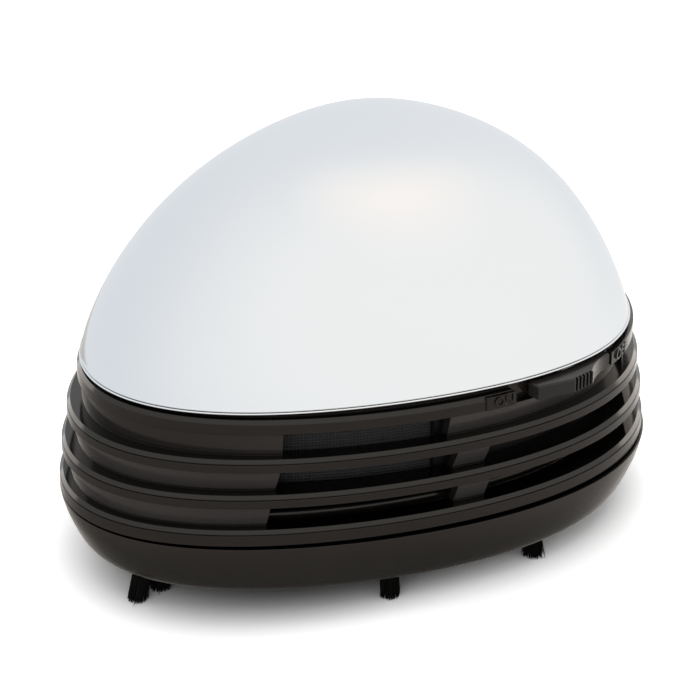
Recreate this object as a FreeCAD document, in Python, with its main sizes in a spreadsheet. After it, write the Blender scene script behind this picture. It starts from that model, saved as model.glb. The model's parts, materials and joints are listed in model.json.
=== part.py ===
import FreeCAD, Part
import math
import os

import Sketcher
from FreeCAD import Placement, Rotation, Vector

# Desktop mini vacuum cleaner, in millimetres. The body is egg-shaped in plan: +X is its wide rear end,
# -X its narrow nose, and Y = 0 its middle plane. Z = 0 is the table that the bristle tips stand on.

EGG_STEPS = 24          # points of the periodic curve through one egg outline
BLADES = 9
RIBS = 5
DOME_BANDS = 10
PAN_BANDS = 6
SPRING_STEPS = 6

SIZES = {
    # plan outline: width = half_width * sin(t) * (1 + taper * cos(t) + fullness * cos(2t))
    "egg_taper": 0.253,
    "egg_fullness": 0.040,
    "dome_taper": 0.278,
    "dome_fullness": 0.067,
    # base pan and bristles
    "bristle_length": 4.4,
    "pan_height": 9.6,
    "pan_half_length": 54.3,
    "pan_half_width": 43.4,
    "pan_tuck_length": 4.1,
    "pan_tuck_width": 3.4,
    "pan_roundness": 1.54,
    "pan_wall": 1.7,
    "pan_floor": 1.8,
    "ledge_width": 1.3,
    "spigot_depth": 3.0,
    "spigot_gap": 0.35,
    "socket_depth": 3.2,
    "socket_rise": 2.2,
    "socket_radius": 1.6,
    "socket_wall": 0.9,
    "tuft_fit": 0.05,
    "tuft_flare": 0.3,
    # suction mouth
    "mouth_centre": -14.0,
    "mouth_length": 11.0,
    "mouth_width": 29.0,
    "throat_wall": 1.2,
    "throat_lip": 1.0,
    "throat_height": 9.6,
    "throat_fit": 0.08,
    "flange_width": 2.0,
    "flange_thickness": 1.0,
    # dust tray: insets are measured from the pan's half length and half width
    "tray_length_inset": 6.1,
    "tray_width_inset": 6.7,
    "tray_rim_radius": 1.05,
    "tray_rim_top": 17.75,
    "tray_wall": 1.2,
    "tray_gap": 0.4,
    # fins, from the lowest to the top band: insets of the sharp lower edge
    "seam_gap": 0.45,
    "skirt_drop": 0.55,
    "fin_pitch": 6.2,
    "fin_low_length_inset": -0.1,
    "fin_low_width_inset": 0.8,
    "fin_mid_length_inset": 0.7,
    "fin_mid_width_inset": 1.0,
    "fin_high_length_inset": 2.14,
    "fin_high_width_inset": 1.06,
    "band_length_inset": 4.55,
    "band_width_inset": 2.0,
    "fin_face": 1.35,
    "fin_lean": 0.08,
    "fin_groove": 0.2,
    "fin_groove_depth": 0.35,
    "fin_height": 2.15,
    "fin_bevel": 0.7,
    "band_face": 1.75,
    "band_bevel": 0.65,
    "band_rise": 2.35,
    "band_height": 3.1,
    # housing wall: insets of its foot on each fin
    "wall_low_length_inset": 2.1,
    "wall_low_width_inset": 3.25,
    "wall_mid_length_inset": 3.54,
    "wall_mid_width_inset": 3.56,
    "wall_high_length_inset": 5.15,
    "wall_high_width_inset": 2.9,
    "wall": 1.5,
    "wall_head": 0.45,
    "wall_ledge": 0.2,
    "vent_start_low": -34.0,
    "vent_start_mid": -32.3,
    "vent_start_high": -31.1,
    "vent_end_low": -5.1,
    "vent_end_mid": -5.2,
    "vent_end_high": -6.0,
    "post_end": 0.5,
    "rear_vent_end": 36.0,
    "panel_inset": 0.55,
    "panel_foot": 1.7,
    "panel_wall": 1.6,
    # neck that the dome slips over
    "seat_inset": 1.75,
    "seat_rim": 0.35,
    "neck_inset": 2.1,
    "upstand_inset": 4.3,
    "upstand_wall": 1.2,
    "upstand_height": 1.9,
    "shelf_width": 2.0,
    "shelf": 1.2,
    # dome
    "dome_length_inset": 5.3,
    "dome_width_inset": 2.35,
    "dome_height": 32.4,
    "dome_wall": 1.8,
    "dome_power": 2.953,
    "dome_shoulder": 1.285,
    "dome_lean": 0.094,
    "lip_width": 0.4,
    "lip_height": 0.5,
    # switch: the knob's places run along its travel from its own middle
    "switch_place": 16.6,
    "switch_depth": 9.0,
    "switch_turn": 6.0,
    "switch_travel": 2.2,
    "knob_length": 17.6,
    "knob_proud": 2.15,
    "knob_inset": 1.35,
    "knob_height": 2.45,
    "knob_lift": 0.05,
    "knob_start_drop": 2.15,
    "knob_tip_drop": 2.45,
    "knob_side_gap": 0.4,
    "knob_bevel": 0.25,
    "notch_drop": 0.3,
    "notch_round": 1.0,
    "rib_start": -2.15,
    "rib_width": 0.36,
    "rib_pitch": 0.85,
    "rib_depth": 0.35,
    "scoop_middle": 4.7,
    "scoop_drop": 1.5,
    "case_length": 12.0,
    "case_depth": 4.0,
    "case_height": 3.4,
    "case_wall": 0.7,
    "case_gap": 0.4,
    "carrier_length": 4.0,
    "carrier_gap": 0.3,
    "stem_length": 3.0,
    "stem_height": 0.8,
    "leg_pitch": 3.5,
    "leg_length": 2.2,
    "label_height": 2.3,
    "on_label_start": -0.4,
    "on_label_end": 5.0,
    "on_label_proud": 0.25,
    "off_label_start": 26.9,
    "off_label_end": 45.0,
    "off_label_proud": 0.65,
    # screen frame and fan
    "frame_length_inset": 8.5,
    "frame_width_inset": 6.0,
    "frame_wall": 1.0,
    "frame_level": 20.6,
    "frame_rail": 1.2,
    "frame_flange": 4.4,
    "screen_start": -33.0,
    "screen_end": -6.7,
    "screen_lap": 0.5,
    "screen_thickness": 0.4,
    "plate_thickness": 1.2,
    "plate_gap": 0.3,
    "fan_inlet_radius": 10.0,
    "fan_place": 6.0,
    "fan_radius": 23.0,
    "fan_clearance": 1.0,
    "fan_height": 6.6,
    "fan_disc": 1.0,
    "blade_root": 8.5,
    "blade_thickness": 0.9,
    "blade_bend": 14.0,
    "hub_radius": 4.0,
    # motor deck
    "deck_thickness": 1.4,
    "deck_gap": 0.35,
    "screw_radius": 1.0,
    "screw_head_radius": 1.9,
    "screw_head": 1.2,
    "screw_fit": 0.05,
    "boss_radius": 2.6,
    "boss_depth": 6.0,
    "boss_arm": 4.0,
    "deck_screw_length": 6.0,
    # motor
    "can_radius": 10.0,
    "can_flat": 15.4,
    "can_length": 22.5,
    "can_wall": 0.8,
    "cap_thickness": 2.5,
    "nose_radius": 3.0,
    "nose_height": 1.4,
    "nose_fit": 0.1,
    "shaft_radius": 1.0,
    "shaft_fit": 0.05,
    "core_radius": 6.6,
    "core_height": 9.0,
    "core_lift": 5.2,
    "magnet_gap": 0.4,
    "winding_height": 2.4,
    "winding_radius": 5.4,
    "commutator_radius": 2.3,
    "commutator_height": 2.6,
    "brush_thickness": 0.3,
    "terminal_width": 2.4,
    "terminal_height": 3.0,
    "terminal_thickness": 0.5,
    "terminal_offset": 6.0,
    # cells and their tray
    "cell_radius": 7.1,
    "cell_length": 49.2,
    "cell_nub": 1.3,
    "cell_nub_radius": 2.7,
    "cell_offset": 17.2,
    "cell_gap": 0.3,
    "tray_plate": 1.0,
    "tray_half_span": 25.2,
    "end_space": 3.2,
    "end_wall": 1.4,
    "end_wall_height": 9.2,
    "cradle_thickness": 2.0,
    "cradle_height": 5.6,
    "cradle_pitch": 19.0,
    "contact_thickness": 0.4,
    "contact_width": 8.0,
    "contact_height": 8.6,
    "spring_radius": 3.2,
    "spring_wire": 0.35,
    "spring_turns": 3,
    "pocket_gap": 0.4,
    "strap_post": 13.6,
    "strap_post_radius": 2.5,
    "strap_width": 7.0,
    "strap_thickness": 1.0,
    "strap_screw_length": 7.0,
    # wiring
    "lead_radius": 0.5,
    "lead_run": 7.0,
    "lead_rise": 6.8,
    "lead_arch": 5.6,
}

DERIVED = {
    "pan_top": "=bristle_length + pan_height",
    "pan_floor_top": "=bristle_length + pan_floor",
    "tray_level": "=pan_floor_top + socket_rise",
    "ledge_level": "=pan_top - spigot_depth",
    "fin_level": "=pan_top + seam_gap + skirt_drop",
    "band_level": "=fin_level + 3 * fin_pitch",
    "seat_level": "=band_level + band_height",
    "shelf_top": "=band_level + shelf",
    "deck_top": "=shelf_top + deck_thickness",
    "plate_level": "=frame_level + frame_rail",
    "plate_top": "=plate_level + plate_thickness",
    "fan_level": "=plate_top + fan_clearance",
    "fan_top": "=fan_level + fan_height",
    "can_top": "=deck_top + can_length",
    "cap_top": "=can_top + cap_thickness",
    "shaft_length": "=cap_top + nose_height - fan_level",
    "core_level": "=deck_top + core_lift",
    "commutator_level": "=core_level + core_height + winding_height + 0.4",
    "cell_level": "=deck_top + tray_plate + cell_gap + cell_radius",
    "cell_start": "=fan_place - (cell_length + cell_nub) / 2",
    "cell_end": "=fan_place + (cell_length + cell_nub) / 2",
    "tray_start": "=cell_start - end_space - end_wall",
    "tray_end": "=cell_end + end_space + end_wall",
    "shelf_inset": "=upstand_inset + upstand_wall + shelf_width",
    "knob_level": "=band_level + knob_lift",
    "stem_level": "=shelf_top + (case_height - stem_height) / 2 - 0.7",
    "mouth_outer_length": "=mouth_length + 2 * throat_wall",
    "mouth_outer_width": "=mouth_width + 2 * throat_wall",
}

# Roots of the bristle tufts, as shares of the pan's half length and half width.
TUFTS = [(-0.862, -0.198), (-0.797, -0.200), (-0.265, -0.749), (0.245, -0.853), (0.746, -0.588),
         (-0.660, 0.400), (-0.265, 0.749), (0.245, 0.853), (0.746, 0.588)]
# Screws on the +Y side, as shares of the band's half length and half width; each has a twin.
DECK_SCREWS = [(-0.543, 0.447), (0.623, 0.580)]

doc = FreeCAD.newDocument("desk_vacuum")
sheet = doc.addObject("Spreadsheet::Sheet", "sizes")
nodes = []


def fill_sheet():
    """Write every driving size, then the levels worked out from them."""
    for row, (name, amount) in enumerate(SIZES.items(), start=1):
        sheet.set(f"A{row}", name)
        sheet.set(f"B{row}", str(amount))
        sheet.setAlias(f"B{row}", name)
    for row, (name, formula) in enumerate(DERIVED.items(), start=1):
        sheet.set(f"D{row}", name)
        sheet.set(f"E{row}", formula)
        sheet.setAlias(f"E{row}", name)
    doc.recompute()


def size(name):
    return float(sheet.get(name))


def named(expression):
    """Turn bare size names into references to the sheet."""
    words = []
    for word in expression.split():
        bare = word.strip("()")
        if bare in SIZES or bare in DERIVED:
            word = word.replace(bare, "sizes." + bare)
        words.append(word)
    return " ".join(words)


def bind(thing, **expressions):
    """Bind properties to sizes; an underscore in a keyword stands for a dot."""
    for key, expression in expressions.items():
        path = {"x": "Placement.Base.x", "y": "Placement.Base.y", "z": "Placement.Base.z",
                "turn": "Placement.Rotation.Angle"}.get(key, key)
        thing.setExpression(path, named(expression))
    return thing


def node(thing, label):
    """Register a finished sub-part under the name of its node."""
    thing.Label = label
    nodes.append(thing)
    return thing


# ---------------------------------------------------------------- primitives and booleans

def cylinder(name, radius, height, x="0", y="0", z="0"):
    made = doc.addObject("Part::Cylinder", name)
    return bind(made, Radius=radius, Height=height, x=x, y=y, z=z)


def lying_cylinder(name, radius, height, x, y, z):
    """Cylinder whose axis runs along +X."""
    made = doc.addObject("Part::Cylinder", name)
    made.Placement = Placement(Vector(), Rotation(Vector(0, 1, 0), 90))
    return bind(made, Radius=radius, Height=height, x=x, y=y, z=z)


def block(name, length, width, height, x="0", y="0", z="0"):
    """Box centred on x and y, standing on z."""
    made = doc.addObject("Part::Box", name)
    return bind(made, Length=length, Width=width, Height=height,
                x=f"( {x} ) - ( {length} ) / 2", y=f"( {y} ) - ( {width} ) / 2", z=z)


def cut(name, base, *tools):
    made = doc.addObject("Part::Cut", name)
    made.Base = base
    made.Tool = tools[0] if len(tools) == 1 else fuse(name + "_tools", *tools)
    return made


def fuse(name, *parts):
    made = doc.addObject("Part::MultiFuse", name)
    made.Shapes = list(parts)
    return made


def common(name, *parts):
    made = doc.addObject("Part::MultiCommon", name)
    made.Shapes = list(parts)
    return made


def group(name, *parts):
    """Separate solids that share one node."""
    made = doc.addObject("Part::Compound", name)
    made.Links = list(parts)
    return made


def feature(name, shape):
    made = doc.addObject("Part::Feature", name)
    made.Shape = shape
    return made


# ---------------------------------------------------------------- sketches and bodies

def new_body(name):
    return doc.addObject("PartDesign::Body", name)


def sketch(body, name, x="0", y="0", z="0"):
    """Sketch parallel to the body's XY plane, shifted by the given sizes."""
    made = body.newObject("Sketcher::SketchObject", f"{body.Name}_{name}")
    plane = next(item for item in body.Origin.OriginFeatures if item.Role == "XY_Plane")
    made.AttachmentSupport = (plane, [""])
    made.MapMode = "FlatFace"
    for axis, expression in (("x", x), ("y", y), ("z", z)):
        made.setExpression(f"AttachmentOffset.Base.{axis}", named(expression))
    return made


def ring(drawing, radius):
    """Circle about the sketch's origin."""
    circle = drawing.addGeometry(Part.Circle(Vector(), Vector(0, 0, 1), 4.0), False)
    drawing.addConstraint(Sketcher.Constraint("Coincident", circle, 3, -1, 1))
    radial = drawing.addConstraint(Sketcher.Constraint("Radius", circle, 4.0))
    drawing.setExpression(f"Constraints[{radial}]", named(radius))


def rectangle(drawing, length, width):
    """Rectangle centred on the sketch's origin."""
    corners = [Vector(-4, -3, 0), Vector(4, -3, 0), Vector(4, 3, 0), Vector(-4, 3, 0)]
    sides = [drawing.addGeometry(Part.LineSegment(corners[i], corners[(i + 1) % 4]), False)
             for i in range(4)]
    for index in range(4):
        following = sides[(index + 1) % 4]
        drawing.addConstraint(Sketcher.Constraint("Coincident", sides[index], 2, following, 1))
    for index, kind in enumerate(("Horizontal", "Vertical", "Horizontal", "Vertical")):
        drawing.addConstraint(Sketcher.Constraint(kind, sides[index]))
    drawing.addConstraint(Sketcher.Constraint("Symmetric", sides[0], 1, sides[2], 1, -1, 1))
    along = drawing.addConstraint(Sketcher.Constraint("DistanceX", sides[0], 1, sides[0], 2, 8.0))
    across = drawing.addConstraint(Sketcher.Constraint("DistanceY", sides[1], 1, sides[1], 2, 6.0))
    drawing.setExpression(f"Constraints[{along}]", named(length))
    drawing.setExpression(f"Constraints[{across}]", named(width))


def slot(drawing, length, width):
    """Round-ended slot along Y, centred on the sketch's origin: length is its X size."""
    low, high = Vector(0, -9, 0), Vector(0, 9, 0)
    up = Vector(0, 0, 1)
    bottom = drawing.addGeometry(Part.ArcOfCircle(Part.Circle(low, up, 5), math.pi, 2 * math.pi), False)
    right = drawing.addGeometry(Part.LineSegment(Vector(5, -9, 0), Vector(5, 9, 0)), False)
    top = drawing.addGeometry(Part.ArcOfCircle(Part.Circle(high, up, 5), 0, math.pi), False)
    left = drawing.addGeometry(Part.LineSegment(Vector(-5, 9, 0), Vector(-5, -9, 0)), False)
    for first, end, second, start in ((bottom, 2, right, 1), (right, 2, top, 1),
                                      (top, 2, left, 1), (left, 2, bottom, 1)):
        drawing.addConstraint(Sketcher.Constraint("Tangent", first, end, second, start))
    drawing.addConstraint(Sketcher.Constraint("PointOnObject", bottom, 3, -2))
    drawing.addConstraint(Sketcher.Constraint("Symmetric", bottom, 3, top, 3, -1, 1))
    radial = drawing.addConstraint(Sketcher.Constraint("Radius", bottom, 5.0))
    apart = drawing.addConstraint(Sketcher.Constraint("DistanceY", bottom, 3, top, 3, 18.0))
    drawing.setExpression(f"Constraints[{radial}]", named(f"( {length} ) / 2"))
    drawing.setExpression(f"Constraints[{apart}]", named(f"{width} - ( {length} )"))


def pad(body, drawing, length):
    made = body.newObject("PartDesign::Pad", drawing.Name + "_pad")
    made.Profile = drawing
    made.setExpression("Length", named(length))
    drawing.Visibility = False
    return made


def pocket(body, drawing, depth):
    """Pocket that cuts upwards from its sketch."""
    made = body.newObject("PartDesign::Pocket", drawing.Name + "_pocket")
    made.Profile = drawing
    made.Reversed = True
    made.setExpression("Length", named(depth))
    return made


# ---------------------------------------------------------------- egg-shaped solids

def egg_wire(half_length, half_width, level, taper=None, fullness=None, shift=0.0):
    """Closed curve: an ellipse whose width swells towards +X."""
    taper = size("egg_taper") if taper is None else taper
    fullness = size("egg_fullness") if fullness is None else fullness
    points = []
    for step in range(EGG_STEPS):
        angle = 2 * math.pi * step / EGG_STEPS
        swell = 1 + taper * math.cos(angle) + fullness * math.cos(2 * angle)
        points.append(Vector(shift + half_length * math.cos(angle),
                             half_width * math.sin(angle) * swell, level))
    curve = Part.BSplineCurve()
    curve.interpolate(points, PeriodicFlag=True)
    return Part.Wire(curve.toShape())


def egg_block(outline, low, high, inset=0.0):
    """Upright prism with an egg outline."""
    wire = egg_wire(outline[0] - inset, outline[1] - inset, low)
    return Part.Face(wire).extrude(Vector(0, 0, high - low))


def egg_stack(levels, smooth=False):
    """Solid through egg outlines (half_length, half_width, z), straight or smooth between them."""
    return Part.makeLoft([egg_wire(*level) for level in levels], True, not smooth)


def outline_of(name):
    """Half length and half width of a named outline, from its insets on the pan's."""
    return (size("pan_half_length") - size(name + "_length_inset"),
            size("pan_half_width") - size(name + "_width_inset"))


def grown(outline, amount):
    return outline[0] + amount, outline[1] + amount


def half_width_at(outline, x):
    """Distance from the middle plane to an egg outline at one x."""
    share = x / outline[0]
    swell = 1 + size("egg_taper") * share + size("egg_fullness") * (2 * share ** 2 - 1)
    return outline[1] * math.sqrt(1 - share ** 2) * swell


def slab(x_low, x_high, y_low, y_high, z_low, z_high):
    made = Part.makeBox(x_high - x_low, y_high - y_low, z_high - z_low)
    made.translate(Vector(x_low, y_low, z_low))
    return made


def near_slab(x_low, x_high, z_low, z_high, side=-1):
    """Block that takes in the whole wall on one side, but nothing near the middle plane."""
    near, far = 0.2 * size("pan_half_width"), 2 * size("pan_half_width")
    y_low, y_high = sorted((side * near, side * far))
    return slab(x_low, x_high, y_low, y_high, z_low, z_high)


def switch_placement(level=0.0):
    """The switch's own directions: x along its travel, y towards the middle of the body."""
    edge = half_width_at(outline_of("band"), size("switch_place"))
    return Placement(Vector(size("switch_place"), size("switch_depth") - edge, level),
                     Rotation(Vector(0, 0, 1), size("switch_turn")))


def switch_slab(x_low, x_high, y_low, y_high, z_low, z_high):
    """Block in the switch's own directions."""
    made = slab(x_low, x_high, y_low, y_high, 0, z_high - z_low)
    made.Placement = switch_placement(z_low).multiply(made.Placement)
    return made


def both_sides(places):
    return [(x, side * y) for x, y in places for side in (-1, 1)]


def tuft_places():
    return [(x * size("pan_half_length"), y * size("pan_half_width")) for x, y in TUFTS]


def screw_places():
    length, width = outline_of("band")
    return both_sides([(x * length, y * width) for x, y in DECK_SCREWS])


# ---------------------------------------------------------------- base pan and bristles

def pan_outline(part):
    """Outline and level of the pan's outer skin; part runs from 0 at its top to 1 at its flat bottom."""
    angle = part * math.pi / 2
    tuck = 1 - math.cos(angle) ** size("pan_roundness")
    drop = math.sin(angle) ** size("pan_roundness")
    return (size("pan_half_length") - size("pan_tuck_length") * tuck,
            size("pan_half_width") - size("pan_tuck_width") * tuck,
            size("pan_top") - size("pan_height") * drop)


def pan_outline_at(level):
    """Outline of the pan's outer skin at one height."""
    drop = (size("pan_top") - level) / size("pan_height")
    angle = math.asin(drop ** (1 / size("pan_roundness")))
    return pan_outline(angle / (math.pi / 2))[:2]


def make_base_pan():
    skin = egg_stack([pan_outline(step / (PAN_BANDS - 1)) for step in range(PAN_BANDS)], smooth=True)
    floor_top, ledge, top = size("pan_floor_top"), size("ledge_level"), size("pan_top")
    low = grown(pan_outline_at(floor_top), -size("pan_wall"))
    high = grown(pan_outline_at(ledge), -size("pan_wall"))
    shelf = grown(high, -size("ledge_width"))
    shape = skin.cut(egg_stack([(*low, floor_top), (*shelf, ledge)]))
    shape = shape.cut(egg_block(high, ledge, top + 1))
    bottom = size("bristle_length")
    radius = size("socket_radius")
    for x, y in tuft_places():
        boss = Part.makeCylinder(radius + size("socket_wall"), size("tray_level") - bottom,
                                 Vector(x, y, bottom))
        shape = shape.fuse(boss.common(skin))
    for x, y in tuft_places():
        shape = shape.cut(Part.makeCylinder(radius, size("socket_depth") + 1, Vector(x, y, bottom - 1)))
    mouth = throat_prism(size("throat_fit"), bottom - 1, floor_top + 1)
    node(feature("pan", shape.cut(mouth)), "base_pan")


def throat_prism(gap, low, high):
    """Round-ended prism just outside the throat tube."""
    radius = size("mouth_outer_length") / 2 + gap
    reach = (size("mouth_outer_width") - size("mouth_outer_length")) / 2
    centre = size("mouth_centre")
    shape = slab(centre - radius, centre + radius, -reach, reach, low, high)
    for side in (-1, 1):
        shape = shape.fuse(Part.makeCylinder(radius, high - low, Vector(centre, side * reach, low)))
    return shape


def make_tufts():
    """Bristle tufts: a round root in its socket, and a bundle that spreads a little to the table."""
    tufts = []
    for index, (x, y) in enumerate(tuft_places()):
        bundle = doc.addObject("Part::Cone", f"bundle_{index}")
        bind(bundle, Radius1="socket_radius + tuft_flare", Radius2="socket_radius - tuft_fit",
             Height="bristle_length")
        root = cylinder(f"root_{index}", "socket_radius - tuft_fit", "socket_depth",
                        z="bristle_length")
        tuft = fuse(f"tuft_{index}", bundle, root)
        tuft.Placement.Base = Vector(x, y, 0)
        tufts.append(tuft)
    node(group("tufts", *tufts), "bristle_tufts")


def make_throat():
    body = new_body("throat")
    bind(body, x="mouth_centre", z="bristle_length - throat_lip")
    tube = sketch(body, "tube")
    slot(tube, "mouth_outer_length", "mouth_outer_width")
    pad(body, tube, "throat_height")
    flange = sketch(body, "flange", z="pan_floor + throat_lip")
    slot(flange, "mouth_outer_length + 2 * flange_width", "mouth_outer_width + 2 * flange_width")
    pad(body, flange, "flange_thickness")
    bore = sketch(body, "bore")
    slot(bore, "mouth_length", "mouth_width")
    pocket(body, bore, "throat_height")
    node(body, "inlet_throat")


def make_dust_tray():
    rim = outline_of("tray")
    level, top, bead = size("tray_level"), size("tray_rim_top"), 2 * size("tray_rim_radius")
    body = grown(rim, -bead / 2)
    wall = size("tray_wall")
    shape = egg_block(body, level, top - bead / 2).cut(egg_block(body, level + wall, top + 1, wall))
    levels = []
    for step in range(-2, 3):
        angle = math.radians(40 * step)
        inset = bead / 2 * (1 - math.cos(angle))
        levels.append((*grown(rim, -inset), top - bead / 2 * (1 - math.sin(angle))))
    bead_ring = egg_stack(levels, smooth=True).cut(egg_block(rim, top - bead - 1, top + 1, bead))
    shape = shape.fuse(bead_ring).cut(throat_prism(size("tray_gap"), level - 1, level + wall + 1))
    node(feature("dust_cup", shape), "dust_tray")


# ---------------------------------------------------------------- vented housing

FINS = ("fin_low", "fin_mid", "fin_high")
WALLS = ("wall_low", "wall_mid", "wall_high")


def fin(index):
    """Flat ring with a sharp lower edge, an upright face, a thin groove and a bevel on top."""
    edge = outline_of(FINS[index])
    level = size("fin_level") + index * size("fin_pitch")
    drop = size("skirt_drop") if index == 0 else 0.0
    face_top, top = level + size("fin_face"), level + size("fin_height")
    groove_top = face_top + size("fin_groove")
    leaning = grown(edge, -size("fin_lean"))
    face = egg_stack([(*edge, level - drop), (*leaning, face_top)])
    bevel = egg_stack([(*leaning, groove_top), (*grown(edge, -size("fin_bevel")), top)])
    groove = egg_block(edge, face_top - 0.1, groove_top + 0.1, size("fin_groove_depth"))
    hole = grown(outline_of(WALLS[index]), -size("wall") - size("wall_ledge"))
    return face.fuse([bevel, groove]).cut(egg_block(hole, level - 2, top + 2))


def top_band():
    """Band below the dome, with the neck and the seat that the dome rests on."""
    edge = outline_of("band")
    level, seat = size("band_level"), size("seat_level")
    face_top, rise = level + size("band_face"), level + size("band_rise")
    shape = egg_stack([(*edge, level), (*grown(edge, -0.05), face_top),
                       (*grown(edge, -size("band_bevel")), rise)])
    shape = shape.fuse(egg_block(edge, rise, seat, size("neck_inset")))
    shape = shape.fuse(egg_block(edge, seat - size("seat_rim"), seat, size("seat_inset")))
    shape = shape.fuse(egg_block(edge, seat, seat + size("upstand_height"), size("upstand_inset")))
    bore = egg_block(edge, size("shelf_top"), seat + size("upstand_height") + 1,
                     size("upstand_inset") + size("upstand_wall"))
    return shape.cut(bore).cut(egg_block(edge, level - 1, seat, size("shelf_inset")))


def wall_ring(foot, head, low, high, thickness):
    """Wall that stands on one fin and leans out to just inside the ring above it."""
    outer = egg_stack([(*foot, low), (*head, high)])
    return outer.cut(egg_stack([(*grown(foot, -thickness), low), (*grown(head, -thickness), high)]))


def tier_wall(index):
    """Wall of one tier, open at the vents on both sides; the lower two keep a post between them."""
    level = size("fin_level") + index * size("fin_pitch")
    low, high = level + size("fin_height") - 0.2, level + size("fin_pitch") + 0.2
    above = outline_of((FINS + ("band",))[index + 1])
    wall = wall_ring(outline_of(WALLS[index]), grown(above, -size("wall_head")), low, high, size("wall"))
    tier = WALLS[index].removeprefix("wall_")
    start, end = size("vent_start_" + tier), size("vent_end_" + tier)
    for side in (-1, 1):
        wall = wall.cut(near_slab(start, end, low - 1, high + 1, side))
        if tier != "high":
            wall = wall.cut(near_slab(size("post_end"), size("rear_vent_end"), low - 1, high + 1, side))
    if tier == "high":
        wall = wall.cut(near_slab(start, size("rear_vent_end"), low - 1, high + 1))
    return wall


def switch_panel():
    """Wall under the switch: it hangs almost flush from the top band and slopes in to the fin."""
    low = size("fin_level") + 2 * size("fin_pitch") + size("fin_height") - 0.2
    high = size("band_level") + 0.2
    band = outline_of("band")
    shell = wall_ring(grown(band, -size("panel_foot")), grown(band, -size("panel_inset")), low, high,
                      size("panel_wall"))
    return shell.common(near_slab(size("vent_end_high"), size("rear_vent_end"), low, high))


def spigot():
    """Skirt that plugs into the pan and rests on its ledge."""
    ledge = size("ledge_level")
    outer = grown(pan_outline_at(ledge), -size("pan_wall") - size("spigot_gap"))
    thickness = size("ledge_width")
    return egg_block(outer, ledge, size("fin_level") + 0.5).cut(
        egg_block(outer, ledge - 1, size("fin_level") + 1, thickness))


def switch_window():
    """Notch in the top band for the knob, from the ON label to past its tip, and the stem's slot."""
    edge = outline_of("band")
    level, seat = size("band_level") - size("notch_drop"), size("seat_level")
    half, side_gap, travel = size("knob_length") / 2, size("knob_side_gap"), size("switch_travel")
    depth = size("switch_depth")
    top = seat - size("seat_rim")
    ring_space = egg_block(grown(edge, depth), level, top).cut(
        egg_block(edge, level - 1, seat + 1, size("neck_inset")))
    opening = switch_slab(-2 * half, half + side_gap, -2 * depth, depth, level, top)
    corner = max((each for each in opening.Edges if each.BoundBox.ZMin > (level + top) / 2),
                 key=lambda each: each.CenterOfMass.x)
    opening = opening.makeFillet(size("notch_round"), [corner])
    notch = ring_space.common(opening).common(near_slab(size("on_label_end"), edge[0], level, seat))
    stem = size("stem_length") / 2 + side_gap
    stem_slot = switch_slab(-stem - travel, stem, 1 - depth, 0, size("stem_level") - 0.3,
                            size("stem_level") + size("stem_height") + 0.3)
    return notch.fuse(stem_slot)


def label_block(name):
    """Raised stretch of the band beside the switch, for the word ON or OFF."""
    edge = outline_of("band")
    low = size("band_level")
    high = low + size("label_height")
    band = egg_block(grown(edge, size(name + "_proud")), low, high).cut(
        egg_block(edge, low - 1, high + 1, 1.0))
    return band.common(near_slab(size(name + "_start"), size(name + "_end"), low, high))


def screw_bosses():
    bosses = []
    depth = size("boss_depth")
    for x, y in screw_places():
        bosses.append(Part.makeCylinder(size("boss_radius"), depth, Vector(x, y, size("shelf_top") - depth)))
        arm = slab(-size("boss_arm") / 2, size("boss_arm") / 2, 0, size("pan_half_width"), 0, size("shelf"))
        heading = math.degrees(math.atan2(y, x)) - 90
        arm.Placement = Placement(Vector(x, y, size("band_level")), Rotation(Vector(0, 0, 1), heading))
        bosses.append(arm.common(egg_block(outline_of("band"), size("band_level"), size("shelf_top"), 2.0)))
    return bosses


def switch_ledge():
    """Wider stretch of shelf under the switch case."""
    half, depth = size("case_length") / 2 + 1, size("case_depth") / 2 + size("case_gap") + 0.2
    return egg_block(outline_of("band"), size("band_level"), size("shelf_top"), size("upstand_inset")).common(
        switch_slab(-half, half, -size("switch_depth"), depth, size("band_level"), size("shelf_top")))


def make_housing():
    shape = top_band()
    for index in range(len(FINS)):
        shape = shape.fuse([fin(index), tier_wall(index)])
    shape = shape.fuse([switch_panel(), spigot(), label_block("on_label"), label_block("off_label"),
                        switch_ledge(), *screw_bosses()])
    shape = shape.cut(switch_window())
    pilot = size("screw_radius") + size("screw_fit")
    for x, y in screw_places():
        shape = shape.cut(Part.makeCylinder(pilot, size("deck_screw_length") + 1,
                                            Vector(x, y, size("shelf_top") - size("deck_screw_length"))))
    node(feature("housing", shape), "vented_housing")


# ---------------------------------------------------------------- screen, fan plate and deck

def make_screen_frame():
    """Egg-shaped cage under the shelf: windows on both sides hold the screen."""
    outline, wall = outline_of("frame"), size("frame_wall")
    low, high, rail = size("frame_level"), size("band_level"), size("frame_rail")
    shape = egg_block(outline, low, high).cut(egg_block(outline, low + rail, high + 1, wall))
    shape = shape.cut(egg_block(outline, low - 1, high, wall + size("frame_flange")))
    for side in (-1, 1):
        shape = shape.cut(near_slab(size("screen_start"), size("screen_end"), *window_levels(), side))
    node(feature("cage", shape), "screen_frame")


def window_levels():
    """Lower and upper edge of the screen's windows."""
    return size("plate_level") + size("frame_rail") / 2, size("band_level") - 0.8 * size("frame_rail")


def make_screen():
    """Two curved sheets of woven screen that line the frame's windows."""
    outline, thickness, lap = outline_of("frame"), size("screen_thickness"), size("screen_lap")
    inset = size("frame_wall") + 0.05
    low, high = window_levels()
    low, high = low - lap, high + lap
    band = egg_block(outline, low, high, inset).cut(egg_block(outline, low, high, inset + thickness))
    sheets = [band.common(near_slab(size("screen_start") - lap, size("screen_end") + lap, low, high, side))
              for side in (-1, 1)]
    node(feature("mesh_sheets", Part.makeCompound([sheet_part.Solids[0] for sheet_part in sheets])),
         "screen_mesh")


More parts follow.
